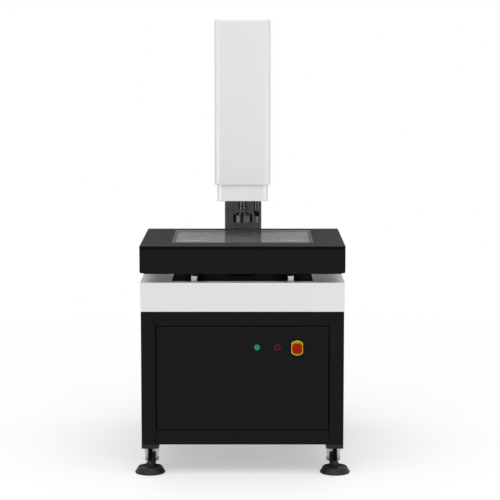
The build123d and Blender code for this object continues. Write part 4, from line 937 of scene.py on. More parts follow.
@dataclass
class Feet:
    """Levelling feet: a dished pad, a tapered hub, a cone and a threaded stem."""

    stem: float = 0.008
    thread_depth: float = 0.0009
    thread_lead: float = 0.0025
    cone: float = 0.0145
    cone_low: float = 0.032
    cone_high: float = 0.042
    hub_high: float = 0.0115
    hub_low: float = 0.0124
    hub_bottom: float = 0.017
    pad_middle: float = 0.016
    rim: float = 0.041
    rim_height: float = 0.022
    widest: float = 0.0525
    widest_height: float = 0.0035
    bulge: float = 0.003
    sole: float = 0.0515
    plate_bottom: float = 0.090
    lip: float = 0.0012
    overlap: float = 0.0005
    bolt: float = 0.007

    def pad_profile(self) -> list[tuple[float, float]]:
        """Return the pad, hub and cone from the cone's top down and round under the sole."""
        dish = [(self.hub_low + 0.0006, self.hub_bottom + 0.0001)]
        for share in np.linspace(0.15, 0.92, 7):
            radius = self.hub_low + share * (self.rim - self.hub_low)
            dish.append((radius, self.pad_middle + (self.rim_height - self.pad_middle) * share ** 1.6))
        lip = arc((self.rim, self.rim_height - self.lip), self.lip, 110, 35, 5)
        bulge = arc((self.widest - self.bulge, self.widest_height), self.bulge, 52, -50, 9)
        return [
            (0.0, self.cone_high),
            (self.stem + 0.0005, self.cone_high),
            (self.stem + 0.0012, self.cone_high - 0.0004),
            (self.cone - 0.0006, self.cone_low + 0.0008),
            (self.cone, self.cone_low + 0.0002),
            (self.cone - 0.0004, self.cone_low - 0.0004),
            (self.hub_high, self.cone_low - 0.0008),
            (self.hub_low, self.hub_bottom + 0.0008),
            *dish,
            *lip,
            *bulge,
            (self.sole, 0.0),
            (0.0, 0.0),
        ]

    def build(self) -> None:
        """Build a foot under each corner, its pad and its stem riding together."""
        for corner, _, _ in CORNERS:
            node = f"foot_{corner}"
            top = span(node)[1][2]
            x, y = middle(node)[:2]
            pad = Shape()
            pad.lathe(np.array(self.pad_profile()), Seat((x, y, 0.0)), segments=96)
            pad.build(f"foot_pad_{corner}", FOOT_BLACK, node, "foot_metal", (node,))
            stem = Shape()
            start = self.cone_high - self.overlap
            stem.helix(self.stem, self.thread_depth, self.thread_lead, self.plate_bottom - start,
                       Seat((x, y, start)), columns=32)
            stem.rod(self.bolt, top - self.plate_bottom, Seat((x, y, self.plate_bottom - self.overlap)),
                     segments=24)
            stem.build(f"foot_stem_{corner}", STEM_BLACK, node, "foot_metal", (node,))


@dataclass
class Casters:
    """Swivel casters: a pressed fork, and a wheel with a tyre on a recessed hub."""

    tyre_inner: float = 0.0165
    hub_recess: float = 0.005
    bore: float = 0.0042
    boss: float = 0.0075
    shoulder: float = 0.004
    crown: float = 0.0006
    side_gap: float = 0.0006

    def build(self) -> None:
        """Dress the forks and build the wheels."""
        for corner, _, _ in CORNERS:
            fork, wheel = f"caster_fork_{corner}", f"caster_wheel_{corner}"
            dress(ZINC, fork)
            low, high = span(wheel)
            centre = middle(wheel)
            radius, half = (high[2] - low[2]) / 2, (high[0] - low[0]) / 2
            seat = Seat(tuple(centre), Direction.RIGHT)
            tyre = Shape()
            tyre.lathe(np.array(self.tyre_profile(radius, half)), seat, segments=72, closed=True)
            tyre.build(f"tyre_{corner}", RUBBER, wheel, "caster_tyre", (wheel,))
            hub = Shape()
            hub.lathe(np.array(self.hub_profile(half)), seat, segments=48, closed=True)
            hub.build(f"hub_{corner}", BLACK_PLASTIC, wheel, "caster_tyre", (wheel,))

    def tyre_profile(self, radius: float, half: float) -> list[tuple[float, float]]:
        """Closed section of the tyre: a crowned tread between two rounded shoulders.

        Args:
            radius: Outer radius.
            half: Half the tyre's width.

        Returns:
            Radius and height of each point.
        """
        flat = half - self.shoulder
        tread = [(radius - self.crown * (h / half) ** 2, h) for h in np.linspace(flat, -flat, 7)]
        upper = arc((radius - self.shoulder, flat), self.shoulder, 90, 8, 5)
        lower = arc((radius - self.shoulder, -flat), self.shoulder, -8, -90, 5)
        return [(self.tyre_inner, half - 0.001), *upper, *tread, *lower, (self.tyre_inner, 0.001 - half)]

    def hub_profile(self, half: float) -> list[tuple[float, float]]:
        """Closed section of the hub: a boss, a recessed web and the seat of the tyre.

        Args:
            half: Half the wheel's width.

        Returns:
            Radius and height of each point.
        """
        side = half - self.side_gap
        web = side - self.hub_recess
        face = [
            (self.bore, side),
            (self.boss, side),
            (self.boss + 0.0008, web),
            (self.tyre_inner - 0.002, web),
            (self.tyre_inner - 0.001, side - 0.0006),
            (self.tyre_inner + 0.0003, side - 0.0006),
        ]
        return face + [(r, -h) for r, h in reversed(face)]


class Axis(Enum):
    """Axes of the slides: the letter in their solids' names, and the way their rails and screws run."""

    X = ("x", Direction.RIGHT)
    Y = ("y", Direction.BACK)
    Z = ("z", Direction.UP)

    @property
    def run(self) -> int:
        """Return the index of the coordinate that grows along the axis."""
        return "xyz".index(self.value[0])


@dataclass(frozen=True)
class LinearGuides:
    """Linear guides of one axis: two rails, the plugs over their screws, and the ends of their blocks."""

    axis: Axis
    width: float = 0.020
    height: float = 0.0175
    bevel: float = 0.001
    foot_bevel: float = 0.001
    block_width: float = 0.044
    block_length: float = 0.0775
    block_foot: float = 0.005
    block_bevel: float = 0.003
    below_top: float = 0.0004
    plate: float = 0.0055
    proud: float = 0.00025
    beyond: float = 0.0008
    slot: float = 0.0003
    nipple: float = 0.0026
    plug: float = 0.0047
    plug_pitch: float = 0.06
    plug_rise: float = 0.00015
    sunk: float = 0.0003

    def tracks(self, facing: Direction) -> list[tuple[np.ndarray, np.ndarray]]:
        """Lines along the middle of the two rails, on the side that faces one way.

        Args:
            facing: The side of the rails.

        Returns:
            Start and end of each line.
        """
        low, high = span(f"{self.axis.value[0]}_rails")
        run = self.axis.run
        normal = np.array(facing.value[0])
        across = 3 - run - int(np.argmax(np.abs(normal)))
        lines = []
        for place in (low[across] + self.width / 2, high[across] - self.width / 2):
            start = np.where(normal > 0, high, low)
            start[across] = place
            end = start.copy()
            end[run] = high[run]
            lines.append((start, end))
        return lines

    def rail_section(self, height: float) -> np.ndarray:
        """Outline of a rail: a square head and foot with a round ball groove in each side.

        The groove is a circle's arc whose middle lies outside the side, so it is deepest near mid height.

        Args:
            height: Height of the rail.

        Returns:
            Outline with the middle of the rail's foot at the origin.
        """
        half = self.width / 2
        radius = height * 0.22
        centre = (half + radius - height * 0.09, height * 0.56)
        foot = [(half - self.foot_bevel, 0.0), (half, self.foot_bevel)]
        head = [(half, height - self.bevel), (half - self.bevel, height)]
        right = [*foot, *arc(centre, radius, -124, -236, 9), *head]
        return np.array(right + [(-x, z) for x, z in reversed(right)])

    def rails(self, finish: Finish, body: str) -> None:
        """Build the two rails of the axis, their section swept along it.

        Args:
            finish: Finish of the ground steel.
            body: Body that the rails belong to.
        """
        letter, along = self.axis.value
        node = f"{letter}_rails"
        low, high = span(node)
        upright = self.axis is Axis.Z
        section = self.rail_section((high - low)[1 if upright else 2])
        outline = {Axis.X: section, Axis.Y: section[:, ::-1], Axis.Z: section * (1, -1)}[self.axis]
        shape = Shape()
        for start, end in self.tracks(Direction.BACK if upright else Direction.DOWN):
            shape.prism(outline, float((end - start).max()), Seat(tuple(start), along))
        shape.build(f"{letter}_rail_profiles", finish, body, "rail_steel", (node,))

    def plugs(self, facing: Direction, body: str) -> None:
        """Build the plugs over the rails' screws, evenly along each rail.

        Args:
            facing: Direction in which the plugs face.
            body: Body that the rails belong to.
        """
        shape = Shape()
        rim = np.array([(0.0, self.plug_rise), (self.plug - 0.0004, self.plug_rise), (self.plug, 0.0),
                        (self.plug, -self.sunk), (0.0, -self.sunk)])
        for start, end in self.tracks(facing):
            length = float(np.linalg.norm(end - start))
            count = max(int(length / self.plug_pitch), 1)
            inset = (length - (count - 1) * self.plug_pitch) / 2
            for step in range(count):
                place = start + (end - start) * (inset + step * self.plug_pitch) / length
                shape.lathe(rim, Seat(tuple(place), facing), segments=18)
        shape.build(f"{self.axis.value[0]}_rail_plugs", BLOCK_STEEL, body, "rail_steel")

    def stops(self, length: float, body: str) -> None:
        """Build the pale stops that close the ends of the X rails.

        Args:
            length: Length of a stop.
            body: Body that the rails belong to.
        """
        section = self.rail_section(self.height)
        shape = Shape()
        for start, end in self.tracks(Direction.DOWN):
            shape.prism(section[:, ::-1], length, Seat(tuple(start), Direction.LEFT))
            shape.prism(section, length, Seat(tuple(end), Direction.RIGHT))
        shape.build(f"{self.axis.value[0]}_rail_stops", RAIL_STOP, body, "rail_steel")

    def block_section(self, top: float) -> np.ndarray:
        """Outline of an end plate: an inverted U that wraps the rail.

        Args:
            top: Height of the block's top over the rail's seat.

        Returns:
            Outline with the rail's seat at the origin.
        """
        half, slot = self.block_width / 2 + self.proud, self.width / 2 + self.slot
        foot, ceiling = self.block_foot - self.proud, self.height + self.slot
        right = [(slot, foot), (half, foot), (half, top - self.block_bevel),
                 (half - self.block_bevel, top - self.below_top)]
        left = [(-x, z) for x, z in reversed(right)]
        return np.array([*right, *left, (-slot, ceiling), (slot, ceiling)])

    def nipple_profile(self) -> np.ndarray:
        """Return the grease nipple's radius and height from its tip to its seat."""
        r = self.nipple
        return np.array([(0.0, 0.0034), (r * 0.35, 0.0034), (r * 0.6, 0.0026), (r * 0.45, 0.0016),
                         (r, 0.0013), (r, -self.sunk), (0.0, -self.sunk)])

    def end_plates(self, places: tuple[float, ...], carried: str, body: str) -> None:
        """Build the end plates of the guide blocks, with their screws and grease nipples.

        Args:
            places: Middle of each block along its rail.
            carried: Solid whose underside lies on the blocks.
            body: Body that the blocks move with.
        """
        letter, run = self.axis.value[0], self.axis.run
        lines = self.tracks(Direction.DOWN)
        outline = self.block_section(span(carried)[0][2] - lines[0][0][2])
        width, top = np.ptp(outline[:, 0]), outline[:, 1].max()
        half = self.block_length / 2
        facings = (Direction.RIGHT, Direction.LEFT) if run == 0 else (Direction.FRONT, Direction.BACK)
        feet = [(np.where(np.arange(3) == run, place, start), facing)
                for start, _ in lines for place in places for facing in facings]
        screw = SocketScrew(0.0021, 0.0012, 0.001, 0.0002)
        plates, heads = Shape(), Shape()
        for foot, facing in feet:
            normal, first, second = (np.array(v, float) for v in facing.value)
            rises = bool(first[2])
            up, side = (first, second) if rises else (second, first)
            plates.prism(outline[:, ::-1] if rises else outline, self.plate + self.beyond,
                         Seat(tuple(foot + normal * (half - self.plate)), facing))
            face = foot + normal * (half + self.beyond)
            spots = [face + side * s * width * 0.38 + up * top * 0.62 for s in (-1, 1)]
            screw.add(heads, [Seat(tuple(spot), facing) for spot in spots])
            heads.lathe(self.nipple_profile(), Seat(tuple(face + up * top * 0.86), facing), segments=12)
        plates.build(f"{letter}_carriage_end_plates", SEAL_PLASTIC, body, "carriage_steel")
        heads.build(f"{letter}_carriage_end_screws", FASTENER_BLACK, body, "carriage_steel")


@dataclass(frozen=True)
class LeadScrew:
    """Ball screw of one axis: a thread, and a thinner journal at its motor or, on X, at each end."""

    axis: Axis
    radius: float = 0.006
    groove: float = 0.0011
    lead: float = 0.010
    journal: float = 0.004
    ends: float = 0.014
    overlap: float = 0.0004
    columns: int = 20

    def build(self) -> None:
        """Build the screw in place of its plain solid."""
        letter, facing = self.axis.value
        node, run = f"{letter}_screw", self.axis.run
        low, high = (corner[run] for corner in span(node))
        if self.axis is Axis.X:
            thread = (low + self.ends, high - low - 2 * self.ends)
            plain = (low, high - low)
        else:
            bearing = span(f"{letter}_motor")[0][run]
            thread = (low, bearing - self.overlap - low)
            plain = (bearing - 2 * self.overlap, high - bearing)
        shape = Shape()
        point = middle(node)
        point[run] = thread[0]
        shape.helix(self.radius, self.groove, self.lead, thread[1], Seat(tuple(point), facing), self.columns)
        point[run] = plain[0]
        shape.rod(self.journal, plain[1], Seat(tuple(point), facing))
        shape.build(f"{node}_thread", SCREW_STEEL, node, "screw_steel", (node,))


@dataclass
class GraniteBase:
    """Granite with its white cover, the Y guides, the Y drive and the round light."""

    guides: LinearGuides = LinearGuides(Axis.Y)
    screw: LeadScrew = LeadScrew(Axis.Y)
    diffuser_sunk: float = 0.0013
    diffuser_rise: float = 0.0006
    diffuser_depth: float = 0.0012
    diffuser_flat: float = 0.008
    diffuser_rim: float = 0.0036

    def build(self) -> None:
        """Dress the base and add the rails, their plugs, the threaded screw and the light's diffuser."""
        dress(BLACK_GRANITE, "granite_base")
        dress(WHITE_COAT, "base_cover")
        self.guides.rails(RAIL_Y, "machine_base")
        dress(MOTOR_BLACK, "y_motor")
        dress(LENS_BLACK, "backlight")
        self.guides.plugs(Direction.UP, "machine_base")
        self.screw.build()
        self.diffuser()

    def diffuser(self) -> None:
        """Build the round light's milky disc, thicker in its middle than at its rim."""
        low, high = span("backlight")
        x, y, _ = middle("backlight")
        radius = (high[0] - low[0]) / 2
        rim = radius - self.diffuser_rim
        section = np.array([(0.0, self.diffuser_rise), (radius - self.diffuser_flat, self.diffuser_rise),
                            (rim, 0.0), (rim, -self.diffuser_depth), (0.0, -self.diffuser_depth)])
        disc = Shape()
        disc.lathe(section, Seat((x, y, high[2] - self.diffuser_sunk)), segments=72)
        disc.build("backlight_diffuser", DIFFUSER, "machine_base", "light_metal")


@dataclass
class CrossTable:
    """Saddle, X guides and drive, and the table with its glass and skirt."""

    y_guides: LinearGuides = LinearGuides(Axis.Y)
    x_guides: LinearGuides = LinearGuides(Axis.X, bevel=0.0036)
    x_screw: LeadScrew = LeadScrew(Axis.X)
    y_blocks: tuple[float, float] = (-0.214, -0.012)
    x_blocks: tuple[float, float] = (-0.092, 0.092)
    stop_length: float = 0.0035
    glass_gap: float = 0.0005
    seal_play: float = 0.0001
    seal_sunk: float = 0.0004
    seal_depth: float = 0.006

    def build(self) -> None:
        """Dress the table's solids and add its rails, end plates, plugs, stops, X screw and glass seal."""
        dress(SADDLE_BLACK, "saddle_frame")
        dress(BLOCK_STEEL, "y_carriages")
        dress(BLOCK_DARK, "x_carriages")
        self.x_guides.rails(RAIL_X, "saddle")
        dress(MOTOR_BLACK, "x_motor")
        dress(TABLE_ANODISE_AND_SHADE, "table_top")
        dress(SKIRT_COAT, "table_skirt")
        dress(STAGE_GLASS, "stage_glass")
        self.y_guides.end_plates(self.y_blocks, "saddle_frame", "saddle")
        self.x_guides.end_plates(self.x_blocks, "table_top", "table")
        self.x_guides.plugs(Direction.UP, "saddle")
        self.x_guides.stops(self.stop_length, "saddle")
        self.x_screw.build()
        self.glass_seal()

    def glass_seal(self) -> None:
        """Build the black sealing strip round the stage glass, just under its top.

        Two rounded rectangles, the glass's edge and the window's edge, carried down as one ring.
        """
        low, high = span("stage_glass")
        size = (high - low)[:2]
        x, y, _ = middle("stage_glass")
        inner = rounded_rectangle(*(size + self.seal_play), 0.0015)
        outer = rounded_rectangle(*(size + 2 * self.glass_gap - self.seal_play), 0.002)
        seat = Seat((x, y, high[2]))
        top, bottom = self.seal_sunk, self.seal_depth
        rings = [(inner, top), (outer, top), (outer, bottom), (inner, bottom)]
        grid = np.stack([seat.world(o[:, 0], o[:, 1], np.full(len(o), -depth)) for o, depth in rings])
        shape = Shape()
        shape.surface(grid, wrap_rows=True)
        shape.build("glass_seal", SEAL_PLASTIC, "table", "table_metal")


@dataclass
class Tower:
    """Granite column, head arm, white cover and the Z guides and drive."""

    guides: LinearGuides = LinearGuides(Axis.Z, width=0.015, plug=0.0038)
    screw: LeadScrew = LeadScrew(Axis.Z, groove=0.0009, lead=0.005, columns=18)

    def build(self) -> None:
        """Dress the tower and add the rails, their plugs and the Z screw's thread."""
        dress(COLUMN_GRANITE, "column")
        dress(ARM_PAINT, "head_arm")
        dress(WHITE_COAT, "z_cover")
        self.guides.rails(RAIL_Z, "machine_base")
        dress(MOTOR_BLACK, "z_motor")
        self.guides.plugs(Direction.FRONT, "machine_base")
        self.screw.build()


@dataclass
class MeasuringHead:
    """Shroud, camera, zoom lens, ring light and touch probe."""

    nose_flare: float = 0.021
    nose_neck: float = 0.0135
    tube: float = 0.013
    neck: float = 0.01525
    barrel: float = 0.020
    bore: float = 0.010
    flutes: int = 24
    flute_depth: float = 0.0012
    lamps: int = 28
    lamp_radius: float = 0.0024
    lamp_circle: float = 0.027
    lamp_bulge: float = 0.6
    lamp_drop: float = 0.0008
    ring_inner: float = 0.01705
    ball: float = 0.0025
    pivot: float = 0.025
    yoke_drop: float = 0.0027
    yoke_height: float = 0.0012
    yoke_width: float = 0.0024
    eye: float = 0.0019
    eye_bore: float = 0.00107
    eye_inner: float = 0.0013
    eye_outer: float = 0.0023

    def build(self) -> None:
        """Dress the head's solids and build its lens, ring light, probe and stylus."""
        dress(SADDLE_METAL, "z_slide")
        dress(BLOCK_STEEL, "z_carriages")
        dress(SHROUD_COAT_PAINTED_LIGHTER, "head_shroud")
        dress(MOTOR_BLACK, "camera")
        dress(STYLUS_STEEL, "stylus_seat")
        self.lens()
        self.zoom_ring()
        self.ring_light()
        self.probe()
        self.stylus()

    def lens(self) -> None:
        """Build the zoom lens: a flared nose, a knurled neck, the tube and the barrel.

        The sections are turned about the lens's axis; the neck and the nose's edge carry fine flutes.
        """
        low, high = span("zoom_lens")
        x, y, _ = middle("zoom_lens")
        base = low[2]
        seat = Seat((x, y, base))
        top = high[2] - base
        body = [
            (0.0, 0.014),
            (self.bore, 0.014),
            (self.bore, 0.0004),
            (self.bore + 0.0004, 0.0),
            (self.nose_flare - 0.0005, 0.0),
            (self.nose_flare, 0.0005),
            (self.nose_flare, 0.005),
            (self.nose_flare - 0.0005, 0.0055),
            (self.nose_neck + 0.0012, 0.0062),
            (self.nose_neck, 0.0078),
            (self.nose_neck, 0.0186),
            (self.neck - 0.0005, 0.019),
            (self.neck, 0.0195),
            (self.neck, 0.0288),
            (self.neck - 0.0005, 0.0293),
            (self.tube - 0.0012, 0.0295),
            (self.tube - 0.0012, 0.0318),
            (self.tube, 0.0322),
            (self.tube, 0.1115),
            (self.barrel - 0.0006, 0.112),
            (self.barrel, 0.1126),
            (self.barrel, 0.1220),
            (0.0170, 0.1220),
            (0.0170, 0.1470),
            (self.barrel, 0.1470),
            (self.barrel, 0.2165),
            (self.barrel - 0.0006, 0.217),
            (0.0150, 0.217),
            (0.0150, top),
            (0.0, top),
        ]
        shape = Shape()
        shape.lathe(np.array(body), seat, segments=72)
        shape.build("lens_barrel", LENS_BLACK, "z_head", "lens_metal", ("zoom_lens",))
        knurl = Shape()
        band = np.array([(self.nose_neck - 0.0004, 0.0100), (self.nose_neck + 0.0008, 0.0104),
                         (self.nose_neck + 0.0008, 0.0160), (self.nose_neck - 0.0004, 0.0164)])
        knurl.fluted(band, seat, 60, np.array([0.0, 0.0006, 0.0006, 0.0]), segments=240)
        knurl.build("lens_knurl", LENS_BLACK, "z_head", "lens_metal")
        glass = Shape()
        curve = [(self.bore * s, 0.0075 - 0.0024 * s * s) for s in np.linspace(0, 0.985, 9)]
        glass.lathe(np.array(curve + [(self.bore * 0.985, 0.0105), (0.0, 0.0105)]), seat, segments=48)
        glass.build("front_lens", LENS_GLASS, "z_head", "lens_metal")

    def zoom_ring(self) -> None:
        """Build the zoom ring with fluted grips and a smooth collar above and below."""
        low, high = span("zoom_ring")
        x, y, _ = middle("zoom_ring")
        radius = (high[0] - low[0]) / 2
        height = high[2] - low[2]
        profile = np.array([
            (self.ring_inner, 0.0003),
            (radius - 0.0012, 0.0),
            (radius - 0.0004, 0.0006),
            (radius - 0.0002, 0.0034),
            (radius, 0.0042),
            (radius, height - 0.0042),
            (radius - 0.0002, height - 0.0034),
            (radius - 0.0004, height - 0.0006),
            (radius - 0.0012, height),
            (self.ring_inner, height - 0.0003),
        ])
        depth = np.array([0, 0, 0, 0, 1, 1, 0, 0, 0, 0]) * self.flute_depth
        shape = Shape()
        shape.fluted(profile, Seat((x, y, low[2])), self.flutes, depth, self.flutes * 8, closed=True)
        shape.build("zoom_grip", RUBBER, "zoom_ring", "lens_metal", ("zoom_ring",))

    def ring_light(self) -> None:
        """Build the ring light's housing with its seam and its channel, and the ring of lamps in it."""
        low, high = span("ring_light")
        x, y, _ = middle("ring_light")
        radius = (high[0] - low[0]) / 2
        height = high[2] - low[2]
        lip, bore, wall, channel = 0.012, 0.020, 0.0025, 0.004
        soft = 0.0006
        section = [
            (lip, height),
            (radius - soft, height),
            (radius, height - soft),
            (radius, height * 0.80),
            (radius - 0.0007, height * 0.79),
            (radius - 0.0007, height * 0.765),
            (radius, height * 0.755),
            (radius, soft),
            (radius - soft, 0.0),
            (radius - wall, 0.0),
            (radius - wall, channel),
            (bore + wall, channel),
            (bore + wall, 0.0),
            (bore, 0.0),
            (bore, height - 0.003),
            (lip, height - 0.003),
        ]
        seat = Seat((x, y, low[2]))
        shape = Shape()
        shape.lathe(np.array(section), seat, segments=96, closed=True)
        shape.build("ring_light_housing", LENS_BLACK, "z_head", "lens_metal", ("ring_light",))
        lamps = Shape()
        dome = np.array(arc((0.0, 0.0), self.lamp_radius, 0, 90, 5)) * (1.0, -self.lamp_bulge)
        dome += (0.0, channel - self.lamp_drop)
        dome = np.concatenate([[(self.lamp_radius, channel + 0.0002)], dome])
        for turn in ring(self.lamps):
            place = (x + self.lamp_circle * math.cos(turn), y + self.lamp_circle * math.sin(turn), low[2])
            lamps.lathe(dome, Seat(place), segments=10)
        lamps.build("ring_light_lamps", LED, "z_head", "light_metal")

    def probe(self) -> None:
        """Build the touch probe: flange, body with two seams, cone and open mouth."""
        low, high = span("touch_probe")
        x, y, _ = middle("touch_probe")
        top = high[2] - low[2]
        r, tip, mouth, flange = 0.0107, 0.006, 0.0045, (high[0] - low[0]) / 2
        cone = 0.013
        flange_low, flange_high = 0.061, 0.066
        section = [
            (0.0, 0.008),
            (mouth, 0.008),
            (mouth, 0.0004),
            (mouth + 0.0004, 0.0),
            (tip - 0.0004, 0.0),
            (tip, 0.0004),
            (r - 0.0002, cone - 0.0006),
            (r, cone),
            (r, 0.0236),
            (r - 0.0005, 0.0239),
            (r - 0.0005, 0.0246),
            (r, 0.0249),
            (r, 0.0400),
            (r - 0.0004, 0.0402),
            (r - 0.0004, 0.0407),
            (r, 0.0409),
            (r, flange_low),
            (flange, flange_low),
            (flange, flange_high),
            (r, flange_high),
            (r, top - 0.0005),
            (r - 0.0005, top),
            (0.0, top),
        ]
        shape = Shape()
        shape.lathe(np.array(section), Seat((x, y, low[2])), segments=64)
        shape.build("probe_body", LENS_BLACK, "z_head", "lens_metal", ("touch_probe",))

    def stylus(self) -> None:
        """Build the stylus: a steel ball and a stem with a collar, and the yoke whose two eyes hold it."""
        low, _ = span("stylus")
        x, y, _ = middle("stylus")
        seat = Seat((x, y, low[2]))
        tip = Shape()
        tip.lathe(np.array(arc((0.0, self.ball), self.ball, -90, 90, 17)), seat, segments=32)
        tip.build("stylus_ball", STYLUS_STEEL, "stylus", "stylus_steel", ("stylus",))
        stem = Shape()
        start, yoke = 2 * self.ball - 0.0006, self.pivot - self.yoke_drop
        stem.lathe(
            np.array([(0.0, start), (0.0009, start), (0.0010, 0.0135), (0.0019, 0.0142), (0.0020, 0.0168),
                      (0.0015, 0.0172), (0.0015, yoke + 0.0002), (0.0, yoke + 0.0002)]),
            seat,
            segments=24,
        )
        yoke_top = yoke + self.yoke_height
        stem.layers(rounded_rectangle(self.yoke_width, 2 * self.eye_outer, 0.0003, 3),
                    [(0.0, yoke), (1.0, yoke), (1.0, yoke_top), (0.0, yoke_top)], seat)
        ring_section = np.array([(self.eye_bore, self.eye_inner), (self.eye, self.eye_inner),
                                 (self.eye, self.eye_outer), (self.eye_bore, self.eye_outer)])
        for facing in (Direction.FRONT, Direction.BACK):
            stem.lathe(ring_section, Seat((x, y, low[2] + self.pivot), facing), segments=32, closed=True)
        stem.build("stylus_stem", STYLUS_STEEL, "stylus", "stylus_steel", ("stylus",))


@dataclass
class Door:
    """Cabinet door with two push buttons and the emergency stop."""

    dome: float = 0.0012
    stop_rim: float = 0.0025
    stop_dish: float = 0.0025
    stop_sunk: float = 0.0004
    stop_barrel: tuple[float, float] = (0.0072, 0.011)
    dish_lap: float = 0.01
    dish_hole: float = 0.28
    head_soft: float = 0.0055
    head_steps: int = 9

    def build(self) -> None:
        """Dress the door and build bezels, button caps and the emergency stop."""
        dress(DOOR_COAT, "door_panel")
        dress(BEZEL_BLACK, "button_bezels")
        self.stop_plate()
        dress(BLACK_PLASTIC, "estop_stem")
        self.cap("green_button", GREEN_LENS, "green_plastic")
        self.cap("red_button", RED_LENS, "red_plastic")
        self.stop_head()

    def cap(self, node: str, finish: Finish, slot: str) -> None:
        """Build a button cap with a softened edge and a slightly crowned face.

        Args:
            node: Solid that the cap stands for.
            finish: Finish of the cap.
            slot: Material slot of the record.
        """
        low, high = span(node)
        x, _, z = middle(node)
        radius = (high[0] - low[0]) / 2
        depth = high[1] - low[1]
        crown = [(radius * 0.86 * s, depth - self.dome * 0.45 * s * s) for s in np.linspace(0, 1, 6)]
        edge = arc((radius - 0.0012, depth - 0.0019), 0.0012, 75, 0, 5)
        section = crown + edge + [(radius, 0.0), (0.0, 0.0)]
        shape = Shape()
        shape.lathe(np.array(section), Seat((x, high[1], z), Direction.FRONT), segments=56)
        shape.build(f"{node}_cap", finish, node, slot, (node,))

    def stop_plate(self) -> None:
        """Build the stop's plate: a circle cut by two flats, with a rounded rim round a dish in a darker
        yellow of painted shade.

        The outline is a circle's points held between the flats. Its layers rise over the rim as a half
        circle.
        """
        low, high = span("estop_guard")
        x, z = middle("estop_guard")[[0, 2]]
        radius, flat = (high[2] - low[2]) / 2, (high[0] - low[0]) / 2
        face = float(span("door_panel")[0][1])
        rise = face - low[1]
        circle = np.array(arc((0.0, 0.0), radius, 0, 360, 145))[:-1]
        outline = np.stack([np.clip(circle[:, 0], -flat, flat), circle[:, 1]], -1)
        seat = Seat((x, face, z), Direction.FRONT)
        rim = self.stop_rim / radius
        turns = np.radians(np.arange(0, 181, 20))
        shares = 1 - rim / 2 * (1 - np.cos(turns))
        crown = np.stack([shares, rise - self.stop_rim / 2 * (1 - np.sin(turns))], -1).tolist()
        floor, inside = rise - self.stop_dish, 1 - rim + self.dish_lap
        back, depth = -self.stop_sunk, -float(high[1] - face)
        shape = Shape()
        shape.layers(outline, [(0.0, back), (1.0, back), *crown, (1 - rim, floor)], seat)
        shape.build("stop_plate", STOP_YELLOW, "door", "estop_yellow", ("estop_guard",))
        # The dish is the plate's yellow, darkened as painted shade.
        dish = Shape()
        dish.layers(outline, [(inside, floor - 0.0003), (inside, floor), (self.dish_hole, floor)], seat)
        dish.build("stop_dish", STOP_DISH_SHADE, "door", "estop_yellow")
        barrel = Shape()
        inner, outer = self.stop_barrel
        section = np.array([(inner, back), (outer, back), (outer, depth), (inner, depth)])
        barrel.lathe(section, seat, closed=True)
        barrel.build("stop_barrel", BLACK_PLASTIC, "door", "estop_yellow")

    def stop_head(self) -> None:
        """Build the stop's head: a full-cornered square that domes over towards its face.

        Layers of one outline are drawn in by the cosine of a quarter turn while they rise with its sine, and
        a shallow crown closes the face.
        """
        low, high = span("estop_head")
        x, _, z = middle("estop_head")
        width = high[0] - low[0]
        depth = high[1] - low[1]
        outline = rounded_rectangle(width, width, width * 0.34, steps=12)
        soft = self.head_soft
        steps = [(0.0, 0.0), (0.92, 0.0), (0.985, 0.0006), (1.0, 0.0018), (0.995, depth - soft)]
        for turn in np.linspace(8, 78, self.head_steps):
            angle = math.radians(turn)
            share = 1 - (soft / (width / 2)) * (1 - math.cos(angle)) * 1.25
            steps.append((share * 0.995, depth - soft + (soft - 0.0007) * math.sin(angle)))
        steps += [(0.5, depth - 0.0003), (0.25, depth - 0.0001), (0.0, depth)]
        shape = Shape()
        shape.layers(outline, steps, Seat((x, high[1], z), Direction.FRONT))
        shape.build("stop_head", STOP_RED, "estop_head", "estop_red", ("estop_head",))


